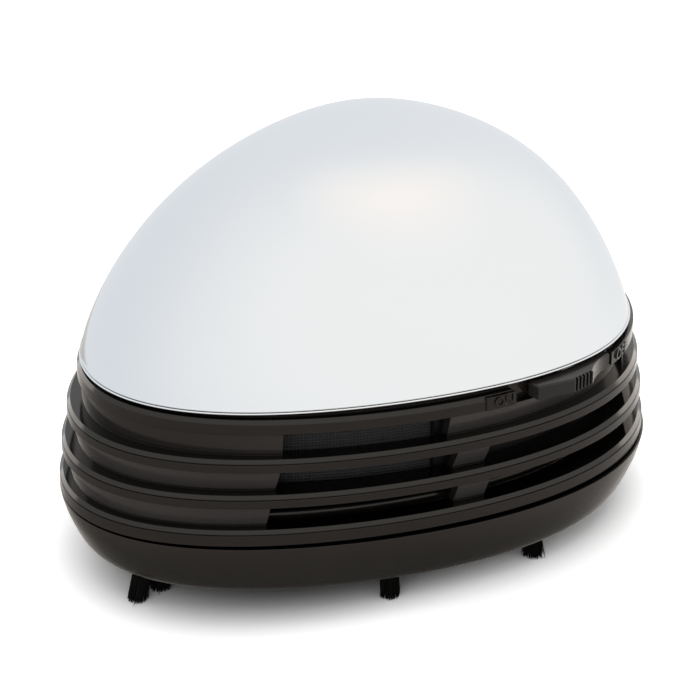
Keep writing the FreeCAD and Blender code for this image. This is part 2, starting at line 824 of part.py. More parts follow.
def make_fan_plate():
    """Plate that rests on the frame's flange and draws air into the fan's eye."""
    outline = grown(outline_of("frame"), -size("frame_wall") - size("screen_thickness") - size("plate_gap"))
    low, high = size("plate_level"), size("plate_top")
    centre = Vector(size("fan_place"), 0, low - 1)
    eye = Part.makeCylinder(size("fan_inlet_radius"), high - low + 2, centre)
    shape = egg_block(outline, low, high).cut(eye)
    node(feature("inlet_plate", shape), "fan_plate")


def make_deck():
    """Plate that closes the housing's top and carries the motor and the cells."""
    outline = grown(outline_of("band"), -size("upstand_inset") - size("upstand_wall") - size("deck_gap"))
    low, high = size("shelf_top"), size("deck_top")
    shape = egg_block(outline, low, high)
    half, depth = size("case_length") / 2 + size("case_gap"), size("case_depth") / 2 + size("case_gap")
    shape = shape.cut(switch_slab(-half, half, -size("switch_depth"), depth, low - 1, high + 1))
    centre = Vector(size("fan_place"), 0, low - 1)
    shape = shape.cut(Part.makeCylinder(size("nose_radius") + size("nose_fit"), high - low + 2, centre))
    hole = size("screw_radius") + size("screw_fit")
    for x, y in screw_places():
        shape = shape.cut(Part.makeCylinder(hole, high - low + 2, Vector(x, y, low - 1)))
    node(feature("deck", shape), "motor_deck")


def screw(name, length):
    """Pan-head screw with a cross slot, its head's underside at its own origin."""
    head = cylinder(name + "_head", "screw_head_radius", "screw_head")
    rounded = doc.addObject("Part::Fillet", name + "_round")
    rounded.Base = head
    rounded.Edges = [(3, 0.5, 0.5)]
    shank = cylinder(name + "_shank", "screw_radius", length, z=f"0 - {length}")
    slots = [block(f"{name}_slot_{index}", length_, width_, "screw_head", z="screw_head / 2")
             for index, (length_, width_) in enumerate((("screw_radius * 2.4", "0.5"),
                                                       ("0.5", "screw_radius * 2.4")))]
    return cut(name, fuse(name + "_solid", rounded, shank), *slots)


def make_deck_screws():
    screws = []
    for index, (x, y) in enumerate(screw_places()):
        made = screw(f"deck_screw_{index}", "deck_screw_length")
        made.Placement.Base = Vector(x, y, size("deck_top"))
        screws.append(made)
    node(group("deck_screw_set", *screws), "deck_screws")


# ---------------------------------------------------------------- motor and fan

def flat_sided(name, radius, across, height, z):
    """Round bar with two flats facing +Y and -Y."""
    bar = cylinder(name + "_bar", radius, height, x="fan_place", z=z)
    flats = block(name + "_flats", f"2 * ( {radius} )", across, height, x="fan_place", z=z)
    return common(name, bar, flats)


def make_motor_case():
    outer = flat_sided("can_outer", "can_radius", "can_flat", "can_length", "deck_top")
    nose = cylinder("can_nose", "nose_radius", "nose_height", x="fan_place", z="deck_top - nose_height")
    inner = flat_sided("can_inner", "can_radius - can_wall", "can_flat - 2 * can_wall",
                       "can_length", "deck_top + can_wall")
    bore = cylinder("can_bore", "shaft_radius + shaft_fit", "can_length + nose_height",
                    x="fan_place", z="deck_top - nose_height")
    node(cut("can", fuse("can_solid", outer, nose), inner, bore), "motor_can")

    cap = flat_sided("cap_outer", "can_radius", "can_flat", "cap_thickness", "can_top")
    boss = cylinder("cap_boss", "nose_radius", "nose_height", x="fan_place", z="cap_top")
    cap_bore = cylinder("cap_bore", "shaft_radius + shaft_fit", "cap_thickness + 2 * nose_height",
                        x="fan_place", z="can_top - nose_height / 2")
    slits = [block(f"cap_slit_{index}", "terminal_width", "terminal_thickness", "cap_thickness + 2",
                   x="fan_place", y=f"{side} * terminal_offset", z="can_top - 1")
             for index, side in enumerate((-1, 1))]
    node(cut("cap", fuse("cap_solid", cap, boss), cap_bore, *slits), "motor_end_cap")


def make_motor_insides():
    height = "core_height + 2 * winding_height"
    level = "core_level - winding_height"
    ring_outer = cylinder("magnet_outer", "can_radius - can_wall - 0.05", height, x="fan_place", z=level)
    ring_inner = cylinder("magnet_inner", "core_radius + magnet_gap", height, x="fan_place", z=level)
    band = block("magnet_band", "2 * can_radius", "can_flat - 4 * can_wall", height,
                 x="fan_place", z=level)
    node(common("magnets", cut("magnet_ring", ring_outer, ring_inner), band), "motor_magnets")

    brushes = []
    for index, side in enumerate((-1, 1)):
        leaf = block(f"brush_leaf_{index}", "commutator_radius * 2", "brush_thickness",
                     "commutator_height", x="fan_place",
                     y=f"{side} * ( commutator_radius + 0.05 + brush_thickness / 2 )",
                     z="commutator_level")
        foot = block(f"brush_foot_{index}", "terminal_width", "brush_thickness",
                     "can_top - commutator_level", x="fan_place",
                     y=f"{side} * ( commutator_radius + 0.05 + brush_thickness / 2 )",
                     z="commutator_level")
        brushes.append(fuse(f"brush_{index}", leaf, foot))
    node(group("brush_pair", *brushes), "motor_brushes")

    tabs = [block(f"motor_tab_{index}", "terminal_width - 0.1", "terminal_thickness - 0.1",
                  "cap_thickness + terminal_height", x="fan_place",
                  y=f"{side} * terminal_offset", z="can_top")
            for index, side in enumerate((-1, 1))]
    node(group("motor_tabs", *tabs), "motor_terminals")


def make_rotor():
    node(cylinder("shaft", "shaft_radius", "shaft_length", x="fan_place", z="fan_level"), "motor_shaft")

    core = new_body("core")
    bind(core, x="fan_place", z="core_level")
    disc = sketch(core, "disc")
    ring(disc, "core_radius")
    ring(disc, "shaft_radius")
    pad(core, disc, "core_height")
    gap = sketch(core, "gap", x="core_radius * 0.72")
    rectangle(gap, "core_radius * 0.7", "core_radius * 0.3")
    gap_cut = pocket(core, gap, "core_height")
    three_times(core, gap_cut, 3)
    node(core, "armature_core")

    heads = []
    for index, level in enumerate(("core_level - winding_height", "core_level + core_height")):
        outer = cylinder(f"winding_outer_{index}", "winding_radius", "winding_height",
                         x="fan_place", z=level)
        rounded = doc.addObject("Part::Fillet", f"winding_round_{index}")
        rounded.Base = outer
        rounded.Edges = [(2, 0.8, 0.8), (3, 0.8, 0.8)]
        hole = cylinder(f"winding_hole_{index}", "shaft_radius", "winding_height",
                        x="fan_place", z=level)
        heads.append(cut(f"winding_{index}", rounded, hole))
    node(group("winding_heads", *heads), "armature_windings")

    bars = cylinder("commutator_bars", "commutator_radius", "commutator_height",
                    x="fan_place", z="commutator_level")
    hole = cylinder("commutator_hole", "shaft_radius", "commutator_height",
                    x="fan_place", z="commutator_level")
    node(cut("commutator_ring", bars, hole), "commutator")


def three_times(body, original, count):
    """Repeat a feature evenly about the body's own Z axis."""
    pattern = body.newObject("PartDesign::PolarPattern", original.Name + "_pattern")
    pattern.Originals = [original]
    axis = next(item for item in body.Origin.OriginFeatures if item.Role == "Z_Axis")
    pattern.Axis = (axis, [""])
    pattern.Angle = 360
    pattern.Occurrences = count
    body.Tip = pattern


def make_impeller():
    """Backplate and hub with curved blades that throw the air outwards."""
    body = new_body("fan")
    bind(body, x="fan_place", z="fan_level")
    disc = sketch(body, "disc", z="fan_height - fan_disc")
    ring(disc, "fan_radius")
    ring(disc, "shaft_radius")
    pad(body, disc, "fan_disc")
    hub = sketch(body, "hub")
    ring(hub, "hub_radius")
    ring(hub, "shaft_radius")
    pad(body, hub, "fan_height")
    blade = sketch(body, "blade")
    blade_profile(blade)
    three_times(body, pad(body, blade, "fan_height - fan_disc / 2"), BLADES)
    node(body, "impeller")


def blade_profile(drawing):
    """Blade between two arcs about one centre; its ends lie on the root and tip circles."""
    root, tip = size("blade_root"), size("fan_radius") - 0.4
    bend, thickness = size("blade_bend"), size("blade_thickness")
    chord = tip - root
    centre = Vector(root + chord / 2, -math.sqrt(bend ** 2 - (chord / 2) ** 2), 0)
    spread = math.asin(chord / 2 / bend)
    up = Vector(0, 0, 1)
    radii = (bend - thickness / 2, bend + thickness / 2)
    arcs = [drawing.addGeometry(Part.ArcOfCircle(Part.Circle(centre, up, radius),
                                                 math.pi / 2 - spread, math.pi / 2 + spread), False)
            for radius in radii]
    ends = []
    for angle in (math.pi / 2 - spread, math.pi / 2 + spread):
        inner, outer = [centre + Vector(math.cos(angle), math.sin(angle), 0) * radius for radius in radii]
        ends.append(drawing.addGeometry(Part.LineSegment(inner, outer), False))
    for end, line in enumerate(ends, start=1):
        drawing.addConstraint(Sketcher.Constraint("Coincident", arcs[0], end, line, 1))
        drawing.addConstraint(Sketcher.Constraint("Coincident", arcs[1], end, line, 2))
    drawing.addConstraint(Sketcher.Constraint("Coincident", arcs[0], 3, arcs[1], 3))
    for arc, sign in ((arcs[0], "-"), (arcs[1], "+")):
        radial = drawing.addConstraint(Sketcher.Constraint("Radius", arc, radii[sign == "+"]))
        drawing.setExpression(f"Constraints[{radial}]", named(f"blade_bend {sign} blade_thickness / 2"))


# ---------------------------------------------------------------- cells and their tray

def make_cell_tray():
    """Plate with end walls and cradles for two cells, and posts for the motor strap."""
    level = "deck_top"
    span = "tray_end - tray_start"
    middle = "( tray_start + tray_end ) / 2"
    parts = [block("tray_sole", span, "2 * tray_half_span", "tray_plate", x=middle, z=level)]
    for index, x in enumerate(("tray_start + end_wall / 2", "tray_end - end_wall / 2")):
        parts.append(block(f"tray_end_wall_{index}", "end_wall", "2 * tray_half_span - 1.6",
                           "end_wall_height", x=x, z=level))
    for side in (-1, 1):
        for index, shift in enumerate(("0 - cradle_pitch", "0", "cradle_pitch")):
            parts.append(block(f"cradle_{index}_{'front' if side < 0 else 'back'}", "cradle_thickness",
                               "2 * cell_radius + 1", "cradle_height", x=f"{middle} + {shift}",
                               y=f"{side} * cell_offset", z=level))
    for side in (-1, 1):
        parts.append(cylinder(f"strap_post_{'nose' if side < 0 else 'rear'}", "strap_post_radius",
                              "cap_top - deck_top", x=f"fan_place + {side} * strap_post", z=level))
    tools = []
    for side in (-1, 1):
        name = "front" if side < 0 else "back"
        tools.append(lying_cylinder(f"cell_space_{name}", "cell_radius + cell_gap",
                                    "cell_end - cell_start + 2 * end_space", "cell_start - end_space",
                                    f"{side} * cell_offset", "cell_level"))
    tools.append(block("motor_pocket", "2 * ( can_radius + pocket_gap )", "can_flat + 2 * pocket_gap",
                       "can_length", x="fan_place", z="deck_top - 1"))
    for side in (-1, 1):
        tools.append(cylinder(f"post_pilot_{'nose' if side < 0 else 'rear'}", "screw_radius + screw_fit",
                              "strap_screw_length + 1", x=f"fan_place + {side} * strap_post",
                              z="cap_top - strap_screw_length - 1"))
    solid = cut("cell_holder", fuse("cell_holder_solid", *parts), *tools)
    reliefs = [cylinder(f"head_relief_{index}", "screw_head_radius + 0.3", "end_wall_height + 1",
                        x=str(x), y=str(y), z="deck_top - 0.5")
               for index, (x, y) in enumerate(screw_places())]
    node(cut("cell_tray_body", solid, *reliefs), "battery_tray")


def make_cells():
    """Two AA cells, nose to tail, each a wrapped can with its raised contact."""
    for name, side, flipped in (("front", -1, False), ("rear", 1, True)):
        can_start = "cell_start + cell_nub" if flipped else "cell_start"
        nub_start = "cell_start" if flipped else "cell_start + cell_length"
        can = lying_cylinder(f"{name}_can", "cell_radius", "cell_length", can_start,
                             f"{side} * cell_offset", "cell_level")
        rounded = doc.addObject("Part::Fillet", f"{name}_can_round")
        rounded.Base = can
        rounded.Edges = [(2, 0.6, 0.6), (3, 0.6, 0.6)]
        nub = lying_cylinder(f"{name}_nub", "cell_nub_radius", "cell_nub", nub_start,
                             f"{side} * cell_offset", "cell_level")
        node(fuse(f"{name}_cell", rounded, nub), f"battery_{name}")


def plate_on_end(name, width, at_start, y):
    """Upright contact plate against an end wall of the tray."""
    x = "tray_start + end_wall + contact_thickness / 2" if at_start else \
        "tray_end - end_wall - contact_thickness / 2"
    return block(name, "contact_thickness", width, "contact_height", x=x, y=y,
                 z="cell_level - contact_height / 2 + 0.6")


def make_contacts():
    link_width = "2 * cell_offset + contact_width"
    node(plate_on_end("link", link_width, True, "0"), "contact_link")
    tabs = [plate_on_end(f"end_plate_{index}", "contact_width", False, f"{side} * cell_offset")
            for index, side in enumerate((-1, 1))]
    node(group("end_plates", *tabs), "contact_plates")


def make_springs():
    """Coil springs that press on the flat end of each cell."""
    springs = []
    wire, radius = size("spring_wire"), size("spring_radius")
    reach = size("end_space") - size("contact_thickness") - 2 * wire
    plate = size("tray_start") + size("end_wall") + size("contact_thickness")
    steps = int(SPRING_STEPS * size("spring_turns"))
    for side, near in ((-1, plate), (1, size("cell_end"))):
        start = Vector(near + wire, side * size("cell_offset"), size("cell_level"))
        points = []
        for step in range(steps + 1):
            angle = 2 * math.pi * step / SPRING_STEPS
            points.append(start + Vector(reach * step / steps, radius * math.cos(angle),
                                         radius * math.sin(angle)))
        springs.append(tube_along(round_corners(points)[0], wire))
    node(feature("springs", Part.makeCompound(springs)), "battery_springs")


def make_strap():
    body = new_body("strap")
    bind(body, x="fan_place", z="cap_top")
    plate = sketch(body, "plate")
    rectangle(plate, "2 * ( strap_post + strap_post_radius )", "strap_width")
    pad(body, plate, "strap_thickness")
    eye = sketch(body, "eye")
    ring(eye, "nose_radius + 0.2")
    pocket(body, eye, "strap_thickness")
    for name, side in (("nose", "-1"), ("rear", "1")):
        hole = sketch(body, f"hole_{name}", x=f"{side} * strap_post")
        ring(hole, "screw_radius + screw_fit")
        pocket(body, hole, "strap_thickness")
    node(body, "motor_strap")
    screws = []
    for index, side in enumerate((-1, 1)):
        made = screw(f"strap_screw_{index}", "strap_screw_length")
        made.Placement.Base = Vector(size("fan_place") + side * size("strap_post"), 0,
                                     size("cap_top") + size("strap_thickness"))
        screws.append(made)
    node(group("strap_screw_set", *screws), "strap_screws")


# ---------------------------------------------------------------- switch

def make_switch_case():
    half, depth, wall = size("case_length") / 2, size("case_depth") / 2, size("case_wall")
    low, high = size("shelf_top"), size("shelf_top") + size("case_height")
    shape = switch_slab(-half, half, -depth, depth, low, high)
    shape = shape.cut(switch_slab(-half + wall, half - wall, -depth + wall, depth - wall,
                                  low + wall, high - wall))
    stem, travel = size("stem_length") / 2 + 0.3, size("switch_travel")
    stem_low, stem_high = size("stem_level") - 0.25, size("stem_level") + size("stem_height") + 0.25
    shape = shape.cut(switch_slab(-stem - travel, stem, -depth - 1, 0, stem_low, stem_high))
    node(feature("case", shape), "switch_case")


def make_switch_slider():
    """Carrier inside the case, with the stem that reaches out to the knob."""
    inset = size("case_wall") + size("carrier_gap")
    half, depth = size("carrier_length") / 2, size("case_depth") / 2 - inset
    low, high = size("shelf_top") + inset, size("shelf_top") + size("case_height") - inset
    shape = switch_slab(-half, half, -depth, depth, low, high)
    stem = size("stem_length") / 2
    stem_solid = switch_slab(-stem, stem, -size("switch_depth"), 0, size("stem_level"),
                             size("stem_level") + size("stem_height"))
    reach = egg_block(outline_of("band"), low - 2, high + 2, size("knob_inset"))
    node(feature("slider", shape.fuse(stem_solid.common(reach))), "switch_slider")


def make_knob():
    """Thumb slide: a wedge that swells to five upright ribs, and a scooped tip towards the rear."""
    low, height = size("knob_level"), size("knob_height")
    face = -size("switch_depth") - size("knob_proud")
    shape = knob_blank(face, height)
    pitch, gap = size("rib_pitch"), size("rib_pitch") - size("rib_width")
    for index in range(RIBS):
        start = size("rib_start") + index * pitch
        shape = shape.cut(slab(start, start + gap, face - 1, face + size("rib_depth"), -1, height + 1))
    shape.Placement = switch_placement(low)
    back = egg_block(outline_of("band"), low - 1, low + height + 1, size("knob_inset"))
    node(feature("knob", shape.cut(back)), "switch_knob")


def knob_blank(face, height):
    """Knob before its ribs are cut, in the switch's own directions, with bevelled front edges."""
    half = size("knob_length") / 2
    rib_start = size("rib_start")
    rib_end = rib_start + RIBS * size("rib_pitch")
    start = Vector(-half, face + size("knob_start_drop"), 0)
    swell, crest = Vector(rib_start - size("rib_width"), face, 0), Vector(rib_end, face, 0)
    hollow = Vector(size("scoop_middle"), face + size("scoop_drop"), 0)
    tip = Vector(half, face + size("knob_tip_drop"), 0)
    inner_tip = Vector(half, -size("switch_depth") / 2, 0)
    inner_start = Vector(-half, -size("switch_depth") / 2, 0)
    edges = [Part.makeLine(start, swell), Part.makeLine(swell, crest),
             Part.Arc(crest, hollow, tip).toShape(), Part.makeLine(tip, inner_tip),
             Part.makeLine(inner_tip, inner_start), Part.makeLine(inner_start, start)]
    blank = Part.Face(Part.Wire(edges)).extrude(Vector(0, 0, height))
    top = [each for each in blank.Edges if each.CenterOfMass.z > height - 0.01
           and each.CenterOfMass.y < inner_tip.y - 0.1]
    return blank.makeChamfer(size("knob_bevel"), top)


def make_switch_terminals():
    low = size("shelf_top") + size("case_height")
    pitch = size("leg_pitch")
    legs = [switch_slab(shift - 0.6, shift + 0.6, -0.2, 0.2, low, low + size("leg_length"))
            for shift in (-pitch, 0.0, pitch)]
    node(feature("switch_legs", Part.makeCompound(legs)), "switch_terminals")


# ---------------------------------------------------------------- wiring

def round_corners(points):
    """Wire of straight runs and arcs that take 0.45 of the shorter run beside each bend, and its radii."""
    edges, radii = [], []
    start = points[0]
    for before, corner, after in zip(points, points[1:], points[2:]):
        inward, outward = (before - corner).normalize(), (after - corner).normalize()
        half_turn = (math.pi - inward.getAngle(outward)) / 2
        reach = 0.45 * min(before.distanceToPoint(corner), corner.distanceToPoint(after))
        radius = reach / math.tan(half_turn)
        centre = corner + (inward + outward).normalize() * (radius / math.cos(half_turn))
        middle = centre + (corner - centre).normalize() * radius
        first, last = corner + inward * reach, corner + outward * reach
        edges.append(Part.makeLine(start, first))
        edges.append(Part.Arc(first, middle, last).toShape())
        radii.append(radius)
        start = last
    edges.append(Part.makeLine(start, points[-1]))
    return Part.Wire(edges), radii


def tube_along(path, radius):
    """Round bar along a wire, checked against its own length."""
    first = path.Edges[0]
    start = first.valueAt(first.FirstParameter)
    section = Part.Wire(Part.makeCircle(radius, start, first.tangentAt(first.FirstParameter)))
    tube = path.makePipeShell([section], True, False)
    if abs(tube.Volume / (math.pi * radius ** 2 * path.Length) - 1) > 0.02:
        raise RuntimeError("a bar isn't a plain tube along its path")
    return tube


def lead(name, points):
    """Round insulated wire along a bent path."""
    path, radii = round_corners(points)
    print(name, "bend radii", ", ".join(f"{radius:.1f}" for radius in radii))
    node(feature(name + "_wire", tube_along(path, size("lead_radius"))), name)


def switch_leg_top(shift):
    top = size("shelf_top") + size("case_height") + size("leg_length")
    return switch_placement(top).multVec(Vector(shift, 0, 0))


def between(start, end, share, lift=0.0):
    """Point on the line from start to end, raised by lift."""
    return start + (end - start) * share + Vector(0, 0, lift)


def make_leads():
    tab = Vector(size("fan_place"), size("terminal_offset") + size("terminal_thickness") / 2 - 0.05,
                 size("cap_top") + 0.6 * size("terminal_height"))
    plate = Vector(size("tray_end") - size("end_wall") - size("contact_thickness") / 2,
                   size("cell_offset"), size("cell_level") + size("contact_height") / 2 + 0.6)
    near_tab = Vector(tab.x, -tab.y, tab.z)
    near_plate = Vector(plate.x, -plate.y, plate.z)
    out, rise = Vector(0, size("lead_run"), 0), Vector(0, 0, size("lead_rise"))
    leg = switch_leg_top(0.0)
    lead("lead_motor_switch", [near_tab, near_tab - out, leg + rise, leg])
    leg = switch_leg_top(size("leg_pitch"))
    solder = near_plate + Vector(-0.3, -0.4, 0.4)
    lead("lead_cell_switch", [solder, between(near_plate, leg + rise, 0.37, size("lead_arch")),
                              leg + rise, leg])
    lead("lead_cell_motor", [tab, tab + out, between(tab + out, plate, 0.79, size("lead_arch")),
                             plate + Vector(-0.3, 0, 0.4)])


# ---------------------------------------------------------------- dome

def dome_level(part, height, outline):
    """Outline at one share of the dome's height: steep at the rim, round over the top."""
    share = (1 - part ** size("dome_shoulder")) ** (1 / size("dome_power"))
    fade = part ** 2
    return egg_wire(outline[0] * share, outline[1] * share, size("seat_level") + height * part,
                    size("dome_taper") * (1 - 0.06 * fade), size("dome_fullness") * (1 - 0.33 * fade),
                    size("dome_lean") * fade * outline_of("dome")[0])


def dome_solid(inset):
    """Solid under the dome's skin, moved inwards by inset; its crown ends in a tiny flat."""
    wires = []
    crown = 0.9985
    for step in range(DOME_BANDS + 1):
        part = crown * math.sin(step / DOME_BANDS * math.pi / 2)
        wires.append(dome_level(part, size("dome_height") - inset, grown(outline_of("dome"), -inset)))
    return Part.makeLoft(wires, True, False)


def make_dome():
    outline = outline_of("dome")
    seat = size("seat_level")
    lip_outline = grown(outline, size("lip_width"))
    lip = Part.Face(egg_wire(*lip_outline, seat, size("dome_taper"), size("dome_fullness"))).extrude(
        Vector(0, 0, size("lip_height")))
    wall = size("dome_wall")
    foot = grown(outline, -wall)
    bore = Part.Face(egg_wire(*foot, seat - 1, size("dome_taper"), size("dome_fullness"))).extrude(
        Vector(0, 0, 1 + size("lip_height")))
    shape = dome_solid(0.0).fuse(lip).cut(dome_solid(wall)).cut(bore)
    node(feature("dome", shape), "dome_shell")


# ---------------------------------------------------------------- checks and export

def check():
    doc.recompute()
    for thing in doc.Objects:
        if "Invalid" in thing.State or "Error" in thing.State:
            raise RuntimeError(f"{thing.Label} failed: {thing.State}")
    for thing in nodes:
        if thing.Shape.isNull() or not thing.Shape.isValid():
            raise RuntimeError(f"{thing.Label} has no valid shape")


def export():
    os.makedirs("parts", exist_ok=True)
    for thing in nodes:
        thing.Shape.exportStep(f"parts/{thing.Label}.step")
        box = thing.Shape.BoundBox
        print(f"{thing.Label:20s} solids {len(thing.Shape.Solids)} volume {thing.Shape.Volume:9.1f} "
              f"z {box.ZMin:6.2f} to {box.ZMax:6.2f}")


def main():
    fill_sheet()
    make_base_pan()
    make_tufts()
    make_throat()
    make_dust_tray()
    make_housing()
    make_screen_frame()
    make_screen()
    make_fan_plate()
    make_deck()
    make_deck_screws()
    make_motor_case()
    make_motor_insides()
    make_rotor()
    make_impeller()
    make_cell_tray()
    make_cells()
    make_contacts()
    make_springs()
    make_strap()
    make_switch_case()
    make_switch_slider()
    make_switch_terminals()
    make_knob()
    make_leads()
    make_dome()
    check()
    export()


main()
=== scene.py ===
import json
import math
import random

import bmesh
import bpy
from mathutils import Matrix, Vector


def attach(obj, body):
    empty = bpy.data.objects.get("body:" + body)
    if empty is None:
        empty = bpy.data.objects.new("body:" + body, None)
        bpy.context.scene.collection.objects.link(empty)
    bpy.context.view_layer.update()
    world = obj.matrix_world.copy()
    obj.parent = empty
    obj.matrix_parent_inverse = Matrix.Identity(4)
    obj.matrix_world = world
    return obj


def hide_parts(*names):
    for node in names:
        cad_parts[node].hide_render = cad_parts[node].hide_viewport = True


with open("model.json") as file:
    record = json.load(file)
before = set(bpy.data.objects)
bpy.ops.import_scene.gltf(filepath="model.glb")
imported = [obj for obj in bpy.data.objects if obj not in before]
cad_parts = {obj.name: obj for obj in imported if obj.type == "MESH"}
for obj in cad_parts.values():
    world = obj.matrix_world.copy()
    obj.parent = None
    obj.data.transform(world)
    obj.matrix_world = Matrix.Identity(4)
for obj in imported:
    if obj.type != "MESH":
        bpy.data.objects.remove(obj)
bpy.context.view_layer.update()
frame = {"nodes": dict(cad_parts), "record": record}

# A desktop mini vacuum cleaner: a mirror-plated dome on a black housing with fins and vents, over a
# base pan that stands on bristle tufts. Shapes are written in millimetres and turned into metres by
# MM. Material nodes, lamps and the table are in metres, unless a comment says otherwise.

MM = 0.001
nodes = frame["nodes"]

EGG = (0.253, 0.040)            # how far the plan swells towards +X, and how full it is
DOME_EGG = (0.278, 0.067)
STEPS = 240                     # points round one egg outline
BAND = (49.75, 41.4)            # half length and half width of the top band's lower edge
BAND_LEVEL = 33.6


# ---------------------------------------------------------------- egg-shaped surfaces

def egg_point(angle, half_length, half_width, level, egg=EGG, shift=0.0):
    """Point of an egg outline; shift moves the outline towards +X."""
    swell = 1 + egg[0] * math.cos(angle) + egg[1] * math.cos(2 * angle)
    return Vector((shift + half_length * math.cos(angle),
                   half_width * math.sin(angle) * swell, level)) * MM


def egg_row(work, half_length, half_width, level, egg, shift=0.0):
    """Vertices round one egg outline."""
    return [work.verts.new(egg_point(2 * math.pi * step / STEPS, half_length, half_width, level,
                                     egg, shift)) for step in range(STEPS)]


def skin_rows(work, rows):
    """Quads between closed rows of vertices."""
    for lower, upper in zip(rows, rows[1:]):
        count = len(lower)
        for index in range(count):
            following = (index + 1) % count
            work.faces.new((lower[index], lower[following], upper[following], upper[index]))


def add_piece(name, mesh_maker, body, material, smooth=True):
    """Object made by a function that fills a bmesh; it rides on a body."""
    mesh = bpy.data.meshes.new(name)
    work = bmesh.new()
    mesh_maker(work)
    bmesh.ops.recalc_face_normals(work, faces=work.faces)
    work.to_mesh(mesh)
    work.free()
    made = bpy.data.objects.new(name, mesh)
    bpy.context.collection.objects.link(made)
    for face in mesh.polygons:
        face.use_smooth = smooth
    mesh.materials.append(material)
    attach(made, body)
    return made


# ---------------------------------------------------------------- nodes

def feed(tree, node, inputs):
    """Give each input, by name or number, a node's output or a plain value. Plain colours are RGB."""
    for key, value in inputs.items():
        socket = node.inputs[key]
        if isinstance(value, bpy.types.NodeSocket):
            tree.links.new(value, socket)
        elif socket.type == "RGBA":
            socket.default_value = (*value, 1)
        else:
            socket.default_value = value


def put(tree, kind, inputs):
    """Add a node with its inputs."""
    made = tree.nodes.new(kind)
    feed(tree, made, inputs)
    return made


def coordinate(tree, kind="Object"):
    return tree.nodes.new("ShaderNodeTexCoord").outputs[kind]


def noise(tree, scale, detail=3.0):
    """Noise of 0..1; scale is about the number of patches in a metre."""
    return put(tree, "ShaderNodeTexNoise",
               {"Vector": coordinate(tree), "Scale": scale, "Detail": detail}).outputs["Fac"]


def stripes(tree, direction, scale, distortion):
    """Fine parallel bands; a scale of 1 is about three bands in a metre."""
    made = put(tree, "ShaderNodeTexWave",
               {"Vector": coordinate(tree), "Scale": scale, "Distortion": distortion})
    made.wave_type = "BANDS"
    made.bands_direction = direction
    return made.outputs["Fac"]


def spread(tree, source, low, high):
    """Map a 0..1 value onto low..high."""
    return put(tree, "ShaderNodeMapRange",
               {"Value": source, "To Min": low, "To Max": high}).outputs["Result"]


def fade_in(tree, source, low, high, smooth=True):
    """0 where a value is low or less, 1 where it is high or more, and between them a rise."""
    made = put(tree, "ShaderNodeMapRange", {"Value": source, "From Min": low, "From Max": high})
    made.interpolation_type = "SMOOTHSTEP" if smooth else "LINEAR"
    return made.outputs["Result"]


def calculate(tree, operation, *values):
    made = put(tree, "ShaderNodeMath", dict(enumerate(values)))
    made.operation = operation
    return made.outputs[0]


def vector_math(tree, operation, inputs):
    """Outputs of a vector calculation. Its kind is set first, since Scale is an input only then."""
    made = tree.nodes.new("ShaderNodeVectorMath")
    made.operation = operation
    feed(tree, made, inputs)
    return made.outputs


def mix(tree, share, first, second):
    """Colour between two, each a plain colour or another node's output."""
    made = tree.nodes.new("ShaderNodeMix")
    made.data_type = "RGBA"
    feed(tree, made, {"Factor": share, 6: first, 7: second})
    return made.outputs[2]


def mix_shader(tree, share, first, second):
    return put(tree, "ShaderNodeMixShader", {"Fac": share, 1: first, 2: second}).outputs["Shader"]


def scaled(tree, colour, factor):
    return vector_math(tree, "SCALE", {0: colour, "Scale": factor})["Vector"]


def dot(tree, direction, axis):
    return vector_math(tree, "DOT_PRODUCT", {0: direction, 1: axis})["Value"]


def ramp(tree, source, stops, interpolation="LINEAR"):
    """Colour that changes along a 0..1 value, at (place, colour) stops."""
    made = put(tree, "ShaderNodeValToRGB", {"Fac": source})
    made.color_ramp.interpolation = interpolation
    marks = made.color_ramp.elements
    while len(marks) < len(stops):
        marks.new(0.5)
    for mark, (place, colour) in zip(marks, stops):
        mark.position = place
        mark.color = (*colour, 1)
    return made.outputs["Color"]


def bump(tree, height, strength, distance, rounding=0.0):
    """Surface relief, over edges that a Bevel node rounds a little."""
    made = put(tree, "ShaderNodeBump",
               {"Height": height, "Strength": strength, "Distance": distance})
    if rounding:
        edge = put(tree, "ShaderNodeBevel", {"Radius": rounding})
        edge.samples = 4
        feed(tree, made, {"Normal": edge.outputs["Normal"]})
    return made.outputs["Normal"]


# ---------------------------------------------------------------- materials

RELIEF = 0.0001                 # depth of the waviness of plastic, and of the mirror's ripple
FINE_RELIEF = 0.00005           # of the grain of metal
THREAD_RELIEF = 0.0002          # of the woven screen
ROUNDING = 0.00012              # radius that the light sees on a moulded edge
KNOB_ROUNDING = 0.00008         # and on the switch knob's finer edges
GRAIN_RELIEF = 0.05             # how strong the grain of bare metal is
BAND_RELIEF, BAND_WOBBLE = 0.6, 0.6      # how strong and how uneven the bands of banded metal are
BROAD_PLASTIC, BROAD_METAL = 60, 90      # scale of the slow changes of tone
METAL_GRAIN = 900
PLASTIC_GLOSS, METAL_GLOSS = (0.8, 1.25), (0.8, 1.2)    # between which shares roughness varies

CREVICE = 0.0006                # how near to another surface a face turns black with painted shade
CREVICE_FADE = (0.45, 0.95)     # openness at which the painted shade is black, and at which the face has its own tone
UNEVEN_TONE = (0.85, 1.15)      # how far a black moulding's tone varies
WARM_GLOSS = (1.0, 0.94, 0.87)  # tint of what the black mouldings reflect
EDGE_SHEEN = 0.7                # how much their turned-away edges light up
EDGE_TURN = (0.5, 0.9)          # how far an edge is turned away where that starts and where it is full


def new_material(name):
    made = bpy.data.materials.new(name)
    made.use_nodes = True
    tree = made.node_tree
    shader = next(item for item in tree.nodes if item.type == "BSDF_PRINCIPLED")
    return made, tree, shader


